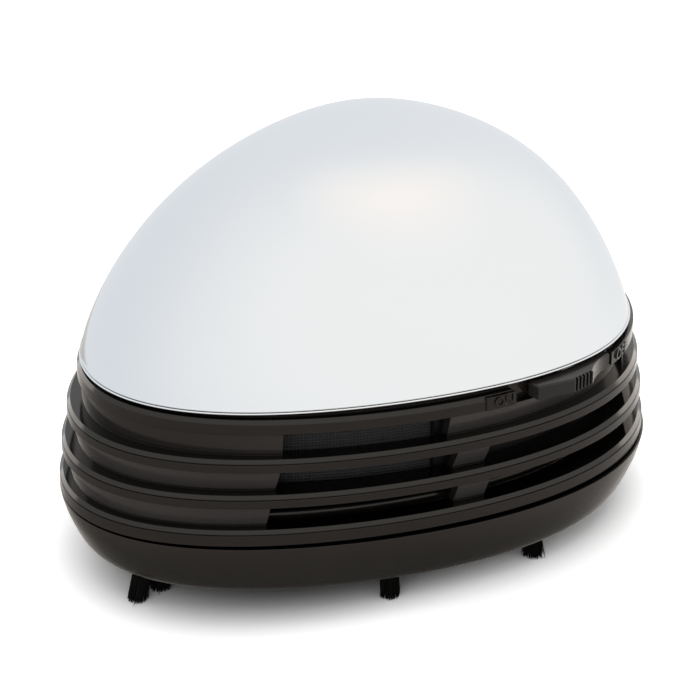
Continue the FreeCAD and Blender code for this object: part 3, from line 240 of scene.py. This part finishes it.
def toned(tree, tones, variation):
    """Painted reflection and shade: tone by the way a surface faces, at (normal's Z, colour) stops, and
    painted shade that turns crevices black.
    """
    normal = tree.nodes.new("ShaderNodeNewGeometry").outputs["Normal"]
    upward = put(tree, "ShaderNodeSeparateXYZ", {0: normal}).outputs["Z"]
    tone = ramp(tree, fade_in(tree, upward, -1, 1, smooth=False),
                [((level + 1) / 2, colour) for level, colour in tones])
    openness = put(tree, "ShaderNodeAmbientOcclusion", {"Distance": CREVICE})
    openness.samples = 6
    share = calculate(tree, "MULTIPLY",
                      fade_in(tree, openness.outputs["AO"], *CREVICE_FADE, smooth=False),
                      spread(tree, variation, *UNEVEN_TONE))
    return scaled(tree, tone, share)


def edge_sheen(tree):
    """Sheen of a surface: none while it faces the viewer, most where it turns away.

    The export drops a linked sheen, so the exported model's edges are darker.
    """
    turned = put(tree, "ShaderNodeLayerWeight", {"Blend": 0.5}).outputs["Facing"]
    return put(tree, "ShaderNodeMapRange",
               {"Value": turned, "From Min": EDGE_TURN[0], "From Max": EDGE_TURN[1],
                "To Max": EDGE_SHEEN}).outputs["Result"]


def unpainted(name, rough, grain, relief, rounding, specular):
    """Moulded plastic without its colour: a little variation of gloss, and a faint waviness."""
    made, tree, shader = new_material(name)
    fine, broad = noise(tree, grain), noise(tree, BROAD_PLASTIC)
    feed(tree, shader, {
        "Roughness": spread(tree, broad, *(rough * share for share in PLASTIC_GLOSS)),
        "Specular IOR Level": specular,
        "Normal": bump(tree, fine, relief, RELIEF, rounding)})
    return made, tree, shader, broad


def plastic(name, dark, light, rough, grain, relief, rounding=ROUNDING, specular=0.5):
    """Plain plastic, a little uneven in tone."""
    made, tree, shader, broad = unpainted(name, rough, grain, relief, rounding, specular)
    feed(tree, shader, {"Base Color": mix(tree, broad, dark, light)})
    return made


def moulding(name, tones, rough, grain, relief, rounding=ROUNDING, specular=0.4):
    """Glossy black moulding with painted reflection and shade: its tone follows the way that it faces, and it
    turns black in crevices.
    """
    made, tree, shader, broad = unpainted(name, rough, grain, relief, rounding, specular)
    feed(tree, shader, {
        "Base Color": toned(tree, tones, broad),
        "Specular Tint": WARM_GLOSS,
        "Sheen Weight": edge_sheen(tree),
        "Sheen Roughness": 0.3,
        "Sheen Tint": WARM_GLOSS})
    return made


def metal(name, dark, light, rough, banding=None):
    """Bare metal with fine grain, or banded by the edges of stacked sheets or the turns of wire."""
    made, tree, shader = new_material(name)
    fine, broad = noise(tree, METAL_GRAIN), noise(tree, BROAD_METAL)
    if banding:
        normal = bump(tree, stripes(tree, *banding, BAND_WOBBLE), BAND_RELIEF, FINE_RELIEF)
    else:
        normal = bump(tree, fine, GRAIN_RELIEF, FINE_RELIEF)
    feed(tree, shader, {
        "Base Color": mix(tree, broad, dark, light),
        "Roughness": spread(tree, fine, *(rough * share for share in METAL_GLOSS)),
        "Metallic": 1.0,
        "Normal": normal})
    return made


MIRROR_TONES = ((0.845, 0.862, 0.88), (0.87, 0.88, 0.892))
MIRROR_ROUGH = (0.06, 0.085)
MIRROR_PATCHES, MIRROR_RIPPLES = 35, 160        # scale of the changes of tone, and of the ripple
RIPPLE_STRENGTH = 0.02


def mirror_plating():
    """Vacuum-plated plastic: a near-white mirror with a very faint orange-peel ripple."""
    made, tree, shader = new_material("dome_mirror")
    broad = noise(tree, MIRROR_PATCHES, 2.0)
    feed(tree, shader, {
        "Base Color": mix(tree, broad, *MIRROR_TONES),
        "Roughness": spread(tree, broad, *MIRROR_ROUGH),
        "Metallic": 1.0,
        "Normal": bump(tree, noise(tree, MIRROR_RIPPLES, 1.0), RIPPLE_STRENGTH, RELIEF)})
    return made


THREAD_SCALE = 620
THREAD_TONES = ((0.003, 0.003, 0.003), (0.044, 0.044, 0.046))       # between threads, and on them
THREAD_STRENGTH = 0.6


def woven_screen():
    """Fine square weave of dark grey threads."""
    made, tree, shader = new_material("mesh")
    threads = calculate(tree, "MAXIMUM", *(stripes(tree, axis, THREAD_SCALE, 0.0) for axis in "XZ"))
    feed(tree, shader, {
        "Base Color": mix(tree, threads, *THREAD_TONES),
        "Roughness": 0.6,
        "Normal": bump(tree, threads, THREAD_STRENGTH, THREAD_RELIEF)})
    return made


# Where the zones of a cell start, as shares of its length: steel base, charcoal, copper, steel cap.
CELL_ZONES = (0.0, 0.025, 0.7, 0.965)
BARE_STEEL = (0.6, 0.6, 0.6)
CELL_COLOURS = (BARE_STEEL, (0.035, 0.036, 0.04), (0.5, 0.2, 0.07), BARE_STEEL)
CELL_METALLIC = ((1, 1, 1), (0, 0, 0), (0.7, 0.7, 0.7), (1, 1, 1))
SCUFF_SCALE, SCUFF_STRENGTH = 260, 0.04
SCUFF_TONE, SCUFF_ROUGH = (0.85, 1.1), (0.22, 0.34)


def cell_skin():
    """Plain battery sleeve: charcoal with a copper-coloured end, between bare steel ends."""
    made, tree, shader = new_material("cell_wrap")
    along = put(tree, "ShaderNodeSeparateXYZ", {0: coordinate(tree, "Generated")}).outputs["X"]
    tone, metallic = (ramp(tree, along, list(zip(CELL_ZONES, colours)), "CONSTANT")
                      for colours in (CELL_COLOURS, CELL_METALLIC))
    scuffs = noise(tree, SCUFF_SCALE)
    feed(tree, shader, {
        "Base Color": scaled(tree, tone, spread(tree, scuffs, *SCUFF_TONE)),
        "Metallic": metallic,
        "Roughness": spread(tree, scuffs, *SCUFF_ROUGH),
        "Normal": bump(tree, scuffs, SCUFF_STRENGTH, RELIEF)})
    return made


# The mouldings are one black plastic. These tones by the way a face points are painted reflection
# and shade, fitted to the photograph to stand for what the plastic reflects there, so they stay
# under any other light.
WALL = (0.04, 0.036, 0.0345)          # painted reflection on the undercut walls between the fins
FACE = (0.0135, 0.0115, 0.0106)       # upright faces
BEVEL_TONE = (0.004, 0.0036, 0.0033)        # painted tone of the bevels
LEDGE = (0.001, 0.0009, 0.0008)       # painted shade on the flat tops
PAN_TUCK = (0.026, 0.0235, 0.021)     # the pan where it turns under
PAN_SIDE = (0.031, 0.0215, 0.02)      # and its sides

HOUSING_TONES = [(-0.75, WALL), (-0.12, WALL), (-0.03, FACE), (0.4, FACE), (0.6, BEVEL_TONE), (0.8, BEVEL_TONE),
                 (0.94, LEDGE)]
PAN_TONES = [(-0.9, PAN_TUCK), (-0.25, PAN_TUCK), (0.1, PAN_SIDE), (0.6, PAN_SIDE), (0.95, LEDGE)]
TRAY_TONES = [(-0.2, FACE), (0.3, FACE), (0.9, LEDGE)]
KNOB_TONES = [(-0.4, (0.02, 0.019, 0.018)), (0.0, (0.02, 0.019, 0.0185)),
              (0.3, (0.016, 0.015, 0.014)), (0.8, (0.014, 0.013, 0.012))]

# Tones, roughness, grain and relief; then rounding and specular level, where they aren't the usual.
MOULDINGS = {
    "housing_black": (HOUSING_TONES, 0.13, 700, 0.04, ROUNDING, 0.5),
    "pan_black": (PAN_TONES, 0.18, 500, 0.05),
    "tray_black": (TRAY_TONES, 0.2, 600, 0.05),
    "knob_black": (KNOB_TONES, 0.24, 900, 0.05, KNOB_ROUNDING)}
# The same after a dark and a light tone.
PLASTICS = {
    "inner_black": ((0.006, 0.006, 0.006), (0.01, 0.01, 0.01), 0.45, 1500, 0.15, ROUNDING, 0.25),
    "bristle": ((0.0015, 0.0015, 0.0014), (0.006, 0.0055, 0.005), 0.6, 1500, 0.1, 0.0, 0.08),
    "motor_white": ((0.7, 0.7, 0.66), (0.8, 0.8, 0.77), 0.4, 900, 0.1),
    "fan_white": ((0.68, 0.68, 0.66), (0.78, 0.78, 0.76), 0.35, 900, 0.1),
    "ferrite": ((0.03, 0.03, 0.032), (0.05, 0.05, 0.052), 0.6, 1500, 0.2),
    "red_wire": ((0.45, 0.02, 0.015), (0.55, 0.03, 0.02), 0.4, 900, 0.1),
    "black_wire": ((0.015, 0.015, 0.015), (0.025, 0.025, 0.025), 0.4, 900, 0.1)}
# Dark and light tone and roughness, with the direction and the scale of any bands.
METALS = {
    "steel": ((0.55, 0.55, 0.56), (0.66, 0.66, 0.67), 0.25),
    "zinc_screw": ((0.5, 0.5, 0.52), (0.6, 0.6, 0.62), 0.35),
    "motor_can_steel": ((0.52, 0.53, 0.54), (0.62, 0.62, 0.63), 0.3),
    "core_steel": ((0.25, 0.25, 0.26), (0.34, 0.34, 0.35), 0.4, ("Z", 300)),
    "copper": ((0.6, 0.25, 0.12), (0.75, 0.36, 0.2), 0.3, ("DIAGONAL", 420)),
    "brass_bar": ((0.65, 0.42, 0.22), (0.75, 0.5, 0.3), 0.3)}

materials = {"dome_mirror": mirror_plating(), "mesh": woven_screen(), "cell_wrap": cell_skin()}
for maker, looks in ((moulding, MOULDINGS), (plastic, PLASTICS), (metal, METALS)):
    for slot_name, look in looks.items():
        materials[slot_name] = maker(slot_name, *look)

for entry in frame["record"]["subparts"]:
    for mesh_slot in nodes[entry["node"]].material_slots:
        mesh_slot.material = materials[entry["material_slot"]]


# ---------------------------------------------------------------- dome

# Sizes of the dome. Power and shoulder round its profile, and lean moves its crown towards +X.
DOME = {"half_length": 49.0, "half_width": 41.05, "seat": 36.7, "height": 32.35, "wall": 1.8,
        "power": 2.953, "shoulder": 1.285, "lean": 0.094}
EGG_FADE = (0.06, 0.33)         # how much of the plan's swell and fullness is gone at the crown
OUTER_ROWS, INNER_ROWS = 90, 30
OUTER_CROWN, INNER_CROWN = 0.99995, 0.9995      # the crown stops just short of a point
OUTER_FOOT, INNER_FOOT = 0.0148, 0.02           # shares of the height where the skins start

# The lip's section, as (outwards from the skin, up from the seat): a groove above a rounded bead.
LIP = [(-0.01, 0.45), (-0.10, 0.44), (-0.28, 0.43), (-0.28, 0.33), (0.0, 0.32), (0.16, 0.29),
       (0.23, 0.21), (0.23, 0.12), (0.15, 0.03), (0.04, 0.0)]
# The section of the dark ring in the groove, which is painted shade for the groove.
GROOVE_SHADE_SECTION = [(-0.26, 0.425), (-0.05, 0.425), (-0.04, 0.335), (-0.26, 0.335)]


def dome_row(work, part, inset=0.0):
    """Row of the skin at a share of the dome's height."""
    share = (1 - part ** DOME["shoulder"]) ** (1 / DOME["power"])
    fade = part ** 2
    egg = [swell * (1 - lost * fade) for swell, lost in zip(DOME_EGG, EGG_FADE)]
    return egg_row(work, (DOME["half_length"] - inset) * share, (DOME["half_width"] - inset) * share,
                   DOME["seat"] + (DOME["height"] - inset) * part, egg,
                   DOME["lean"] * fade * DOME["half_length"])


def foot_row(work, out, up):
    """Row near the dome's foot, a little outwards from the skin and up from the seat."""
    return egg_row(work, DOME["half_length"] + out, DOME["half_width"] + out, DOME["seat"] + up,
                   DOME_EGG)


def height_shares(rows, crown):
    """Shares of the height from the foot to the crown, closer together near the crown."""
    return [math.sin(math.pi / 2 * row / rows) * crown for row in range(rows + 1)]


def dome_skin(work):
    """Outer skin down to a rounded lip, then the inner skin back up to the crown."""
    outer = [dome_row(work, part) for part in reversed(height_shares(OUTER_ROWS, OUTER_CROWN))
             if part > OUTER_FOOT]
    lip = [foot_row(work, out, up) for out, up in LIP]
    foot = [foot_row(work, -DOME["wall"], 0.0)]
    inner = [dome_row(work, part, DOME["wall"]) for part in height_shares(INNER_ROWS, INNER_CROWN)
             if part > INNER_FOOT]
    rows = outer + lip + foot + inner
    skin_rows(work, rows)
    work.faces.new(rows[0])
    work.faces.new(rows[-1])


def groove_shade_ring(work):
    """Dark ring in the groove above the lip, as painted shade."""
    rows = [foot_row(work, out, up) for out, up in GROOVE_SHADE_SECTION]
    skin_rows(work, rows + rows[:1])


dome = add_piece("dome_cover", dome_skin, "dome", materials["dome_mirror"])
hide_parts("dome_shell")
# A dark ring in the lip's groove is painted shade.
groove_shade_piece = add_piece("dome_groove_shade", groove_shade_ring, "dome", materials["housing_black"])


# ---------------------------------------------------------------- bristles

PAN_HALF = (54.3, 43.4)
PAN_BOTTOM = 4.4
# Roots of the tufts as shares of the pan's half length and half width, and how far each one leans.
TUFTS = [((-0.874, -0.187), (-1.3, -0.2)), ((-0.809, -0.189), (0.1, 0.6)),
         ((-0.265, -0.749), (0.1, -0.1)), ((0.245, -0.853), (0.0, -0.1)),
         ((0.746, -0.588), (0.9, 0.6)), ((-0.660, 0.400), (-0.1, 0.1)),
         ((-0.265, 0.749), (0.0, 0.1)), ((0.245, 0.853), (0.1, 0.1)), ((0.746, 0.588), (0.1, 0.0))]
HAIRS = 230                     # in one tuft
STRAYS = 3                      # of which this many spread out more
STRAY_OUT = (0.4, 0.8)          # by how much, as shares of how far out their roots are
TUFT_RADIUS = 1.5
TUFT_FLARE = 1.12               # how much wider a tuft is at its tips
ROOT_DEPTH = 0.4                # of the hairs inside the pan's floor
HAIR_RADIUS = 0.1
HAIR_WIDTHS = ((0.0, 1.0), (0.4, 1.0), (0.8, 0.9), (1.0, 0.5))      # share of the way down, and of the radius
WANDER, BOW, TRIM = 0.12, 0.08, 0.16    # how uneven the tips, the bends and the lengths are
DICE_SEED = 7


def hair(work, root, tip, bow):
    """Thin four-sided hair that bows a little on its way down and tapers at its tip."""
    rows = []
    for part, width in HAIR_WIDTHS:
        middle = root.lerp(tip, part) + bow * math.sin(math.pi * part)
        corners = [Vector((math.cos(turn), math.sin(turn), 0)) * HAIR_RADIUS * width
                   for turn in (0.0, math.pi / 2, math.pi, 3 * math.pi / 2)]
        rows.append([work.verts.new((middle + corner) * MM) for corner in corners])
    skin_rows(work, rows)
    work.faces.new(rows[0])
    work.faces.new(rows[-1])


def bristle_hairs(work):
    """Loose nylon hairs, some shorter than others and a few that stray."""
    dice = random.Random(DICE_SEED)
    for (share_x, share_y), (lean_x, lean_y) in TUFTS:
        centre = Vector((share_x * PAN_HALF[0], share_y * PAN_HALF[1], 0))
        lean = Vector((lean_x, lean_y, 0))
        for index in range(HAIRS):
            turn, away = dice.uniform(0, 2 * math.pi), math.sqrt(dice.random())
            offset = Vector((math.cos(turn), math.sin(turn), 0)) * away * TUFT_RADIUS
            wander = Vector((dice.gauss(0, WANDER), dice.gauss(0, WANDER), 0))
            if index < STRAYS:
                wander = offset * dice.uniform(*STRAY_OUT)
            root = centre + offset + Vector((0, 0, PAN_BOTTOM + ROOT_DEPTH))
            lift = Vector((0, 0, abs(dice.gauss(0, TRIM))))
            tip = centre + offset * TUFT_FLARE + lean + wander + lift
            hair(work, root, tip, Vector((dice.gauss(0, BOW), dice.gauss(0, BOW), 0)))


hairs = add_piece("bristle_hairs", bristle_hairs, "base", materials["bristle"], smooth=False)
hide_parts("bristle_tufts")


# ---------------------------------------------------------------- switch lettering

LETTER_RISE = 0.22              # how far the strokes stand out of the label
LETTER_WEIGHT = 0.03            # how much thicker than the plain font the strokes are
FONT_SIZE = 1.4                 # font size of a letter of height 1
SMALL_TURN = 0.001              # angle to the nearby point that gives the band's direction
# Name, words, place along X, how far the label stands out of the band, level above it and height.
LABELS = [("letters_on", "ON", 2.8, 0.25, 1.15, 1.7),
          ("letters_off", "OFF", 29.9, 0.65, 1.1, 1.9)]


def band_place(x, proud):
    """Point on the switch side of the band at one x, and the direction along the band there."""
    angle = -math.acos(x / BAND[0])
    here, nearby = (egg_point(angle + turn, BAND[0] + proud, BAND[1] + proud, 0)
                    for turn in (0, SMALL_TURN))
    return here, (nearby - here).normalized()


def flat_letters(name, words, height):
    """Mesh of raised letters, lying in the XY plane."""
    curve = bpy.data.curves.new(name, "FONT")
    curve.body = words
    curve.align_x = "CENTER"
    curve.align_y = "CENTER"
    curve.size = height * FONT_SIZE * MM
    curve.extrude = LETTER_RISE * MM
    curve.offset = LETTER_WEIGHT * MM
    drawn = bpy.data.objects.new(name + "_outline", curve)
    bpy.context.collection.objects.link(drawn)
    bpy.context.view_layer.update()
    mesh = bpy.data.meshes.new_from_object(drawn)
    bpy.data.objects.remove(drawn)
    mesh.name = name
    return mesh


def lettering(name, words, x, proud, level, height):
    """Raised letters on a label of the band."""
    mesh = flat_letters(name, words, height)
    here, along = band_place(x, proud)
    up = Vector((0, 0, 1))
    turn = Matrix((along, up, along.cross(up))).transposed().to_4x4()
    mesh.transform(Matrix.Translation(here + up * ((BAND_LEVEL + level) * MM)) @ turn)
    mesh.materials.clear()
    mesh.materials.append(materials["housing_black"])
    made = bpy.data.objects.new(name, mesh)
    bpy.context.collection.objects.link(made)
    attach(made, "housing")
    return made


letters = [lettering(*label) for label in LABELS]


# ---------------------------------------------------------------- tones of the table and the room

TABLE_RADIUS = 3.0
TABLE_TONES = ((0.86, 0.86, 0.86), (0.88, 0.88, 0.88))
TABLE_GRAIN = 8
WORLD_LIGHT = 0.6               # strength of the world where it only lights surfaces
WHITE = (1, 1, 1)
# A patch of painted shade, fitted to the photograph, that only the lens sees under the object,
# besides the shadow that the lamps cast: its middle and its half sizes in millimetres, the shares of them
# between which it fades out, and the table's tone inside and outside it.
SHADE_MIDDLE, SHADE_HALF = (-10, -10.1), (60, 35)
SHADE_FADE = (0.32, 0.86)
LENS_NEAR, LENS_FAR = 0.334, 1.55

# The table close to the object as glossy plastic sees it, a glowing tone fitted to the photograph:
# how dark the object's painted shade is and where it fades out, the tones towards and away from the
# photograph's camera, and where the room's tone takes over.
FOOTPRINT = (55.5, 44)          # half sizes of the object's plan, in millimetres
GLOSS_SHADE, GLOSS_FADE = 0.25, (0.95, 1.4)
NEAR_DIM, NEAR_BRIGHT = (0.33, 0.31, 0.295), (1.0, 0.965, 0.92)
FAR_SIDE = (0.906, 0.423, 0)
FAR_TABLE = (0.12, 0.17)        # in metres from the middle

# The room as a mirror sees it, fitted to the photograph.
NEUTRAL = (0.99, 0.99, 0.975)   # in front of the object
COOL = (0.78, 0.81, 0.845)      # behind it
WARM = (1.08, 1.03, 0.985)      # nearly straight above
BRIGHT_SIDE, BRIGHT_FADE = (0.33, -0.84, 0.43), (-0.9, 1.1)
# The two axes of the warm patch, each with the place of its middle along it.
GLOW_AXES = (((2.293, -0.905, 0), 0.714), ((0.796, 1.069, 0), 0.16))


def fade_outwards(tree, vector, low, high):
    """Smooth rise with a vector's length, from 0 at low to 1 at high."""
    return fade_in(tree, vector_math(tree, "LENGTH", {0: vector})["Value"], low, high)


def outside_oval(tree, place, fade, half, middle=(0, 0)):
    """Smooth rise from 0 inside an oval on the table to 1 outside it; fade is in shares of its size."""
    stretched = vector_math(tree, "MULTIPLY_ADD", {
        0: place,
        1: (1 / (half[0] * MM), 1 / (half[1] * MM), 0),
        2: (-middle[0] / half[0], -middle[1] / half[1], 0)})
    return fade_outwards(tree, stretched["Vector"], *fade)


def studio_tone(tree, direction):
    """Colour of the room as a mirror sees it: neutral in front, cooler behind."""
    return mix(tree, fade_in(tree, dot(tree, direction, BRIGHT_SIDE), *BRIGHT_FADE), COOL, NEUTRAL)


def glow_share(tree, direction):
    """Soft round patch of light nearly straight above: 1 in its middle, 0 outside."""
    apart = [calculate(tree, "SUBTRACT", dot(tree, direction, axis), middle)
             for axis, middle in GLOW_AXES]
    away = put(tree, "ShaderNodeCombineXYZ", dict(enumerate(apart))).outputs[0]
    return calculate(tree, "SUBTRACT", 1.0, fade_outwards(tree, away, 0.0, 1.0))


def table_tone(tree, place, direction):
    """The table as glossy plastic sees it, a glowing tone: painted shade of the object, dim in front of it,
    bright behind.
    """
    shade = spread(tree, outside_oval(tree, place, GLOSS_FADE, FOOTPRINT), GLOSS_SHADE, 1.0)
    turned = fade_in(tree, dot(tree, direction, FAR_SIDE), -1, 1, smooth=False)
    near = mix(tree, calculate(tree, "POWER", turned, 2), NEAR_DIM, NEAR_BRIGHT)
    return mix(tree, fade_outwards(tree, place, *FAR_TABLE), scaled(tree, near, shade),
               studio_tone(tree, direction))


def stage_material():
    """Pale table: lit as it is, its own tone with a painted patch of shade to the lens, and to a mirror a
    glowing tone with painted shade near the object and the room's tone farther off.
    """
    made, tree, shader = new_material("pale_table")
    path = tree.nodes.new("ShaderNodeLightPath").outputs
    place = coordinate(tree)
    feed(tree, shader, {
        "Base Color": mix(tree, noise(tree, TABLE_GRAIN), *TABLE_TONES),
        "Roughness": 0.7,
        "Specular IOR Level": 0.1})

    clear = outside_oval(tree, place, SHADE_FADE, SHADE_HALF, SHADE_MIDDLE)
    seen = put(tree, "ShaderNodeBsdfDiffuse",
               {"Color": mix(tree, clear, (LENS_NEAR,) * 3, (LENS_FAR,) * 3)})
    lit = mix_shader(tree, path["Is Camera Ray"], shader.outputs["BSDF"], seen.outputs["BSDF"])

    direction = vector_math(tree, "NORMALIZE", {0: place})["Vector"]
    glow = put(tree, "ShaderNodeEmission", {"Color": table_tone(tree, place, direction)})
    top = mix_shader(tree, path["Is Glossy Ray"], lit, glow.outputs["Emission"])

    # From below the table can be seen through, so that the underside can be looked at.
    backfacing = tree.nodes.new("ShaderNodeNewGeometry").outputs["Backfacing"]
    nothing = tree.nodes.new("ShaderNodeBsdfTransparent").outputs["BSDF"]
    output = next(item for item in tree.nodes if item.type == "OUTPUT_MATERIAL")
    feed(tree, output, {"Surface": mix_shader(tree, backfacing, top, nothing)})
    return made


def make_stage():
    mesh = bpy.data.meshes.new("table_top")
    work = bmesh.new()
    bmesh.ops.create_circle(work, cap_ends=True, segments=96, radius=TABLE_RADIUS)
    work.to_mesh(mesh)
    work.free()
    table_top = bpy.data.objects.new("table_top", mesh)
    bpy.context.collection.objects.link(table_top)
    mesh.materials.append(stage_material())


def make_world():
    """Plain light for surfaces, white to the lens, and the room's tone to a mirror."""
    world = bpy.data.worlds.new("studio")
    bpy.context.scene.world = world
    world.use_nodes = True
    tree = world.node_tree
    path = tree.nodes.new("ShaderNodeLightPath").outputs
    direction = coordinate(tree, "Generated")
    room = mix(tree, glow_share(tree, direction), studio_tone(tree, direction), WARM)
    seen = calculate(tree, "MAXIMUM", path["Is Camera Ray"], path["Is Glossy Ray"])
    seen = calculate(tree, "MAXIMUM", seen, path["Is Transmission Ray"])
    feed(tree, tree.nodes["Background"], {
        "Color": mix(tree, path["Is Glossy Ray"], WHITE, room),
        "Strength": spread(tree, seen, WORLD_LIGHT, 1.0)})


# ---------------------------------------------------------------- lamps and camera

# Soft lamps: name, place, target, size and power.
SOFTBOXES = [("softbox_top", (0.08, 0.02, 0.9), (0, 0, 0), (0.9, 0.9), 4.0),
             ("softbox_left", (-0.8, -0.5, 0.5), (0, 0, 0.03), (0.6, 0.8), 1.5)]
# Strips a metre behind the object: name, azimuth, elevation, size, power and colour.
STRIPS = [("strip_right", 18, 16, (1.0, 0.4), 3.2, (1.0, 0.93, 0.85)),
          ("strip_left", 102, 12, (0.9, 0.45), 2.4, (1.0, 0.95, 0.9))]
STRIP_TARGET = (0, 0, 0.03)
BLACK_NODES = ("base_pan", "dust_tray", "vented_housing", "switch_knob")

# The photograph's view: angles in degrees; distances, target and shifts in millimetres.
AZIMUTH, ELEVATION, DISTANCE = -36.65, 26.57, 400
TARGET = (0, 0, 24)
SHIFT_RIGHT, SHIFT_UP = 1.368, 4.085
LENS = 116.63


def area_light(name, place, target, size, power, colour=WHITE):
    """Soft lamp that shows in no reflection."""
    data = bpy.data.lights.new(name, "AREA")
    data.shape = "RECTANGLE"
    data.size, data.size_y = size
    data.energy = power
    data.color = colour
    lamp = bpy.data.objects.new(name, data)
    bpy.context.collection.objects.link(lamp)
    lamp.location = place
    lamp.rotation_mode = "QUATERNION"
    lamp.rotation_quaternion = (Vector(target) - Vector(place)).to_track_quat("-Z", "Y")
    lamp.visible_glossy = False
    return lamp


def edge_light(name, azimuth, elevation, size, power, colour, receivers):
    """Lamp behind the object whose light only the black mouldings catch."""
    turn, lift = math.radians(azimuth), math.radians(elevation)
    place = (math.cos(turn) * math.cos(lift), math.sin(turn) * math.cos(lift), math.sin(lift))
    lamp = area_light(name, place, STRIP_TARGET, size, power, colour)
    lamp.visible_glossy = True
    lamp.visible_camera = False
    lamp.light_linking.receiver_collection = receivers


def make_lamps():
    for softbox in SOFTBOXES:
        area_light(*softbox)
    black_parts = bpy.data.collections.new("black_parts")
    for item in [nodes[name] for name in BLACK_NODES] + [groove_shade_piece] + letters:
        black_parts.objects.link(item)
    for strip in STRIPS:
        edge_light(*strip, black_parts)


def make_camera():
    azimuth, elevation = math.radians(AZIMUTH), math.radians(ELEVATION)
    back = Vector((math.sin(azimuth) * math.cos(elevation),
                   -math.cos(azimuth) * math.cos(elevation), math.sin(elevation)))
    right = Vector((math.cos(azimuth), math.sin(azimuth), 0))
    up = back.cross(right)
    data = bpy.data.cameras.new("camera")
    data.sensor_width = 36
    data.lens = LENS
    data.clip_start, data.clip_end = 0.01, 20
    camera = bpy.data.objects.new("camera", data)
    bpy.context.collection.objects.link(camera)
    camera.location = (Vector(TARGET) + back * DISTANCE + right * SHIFT_RIGHT + up * SHIFT_UP) * MM
    camera.rotation_mode = "QUATERNION"
    camera.rotation_quaternion = Matrix((right, up, back)).transposed().to_quaternion()
    bpy.context.scene.camera = camera


make_stage()
make_world()
make_lamps()
make_camera()
bpy.context.scene.view_settings.view_transform = "Standard"
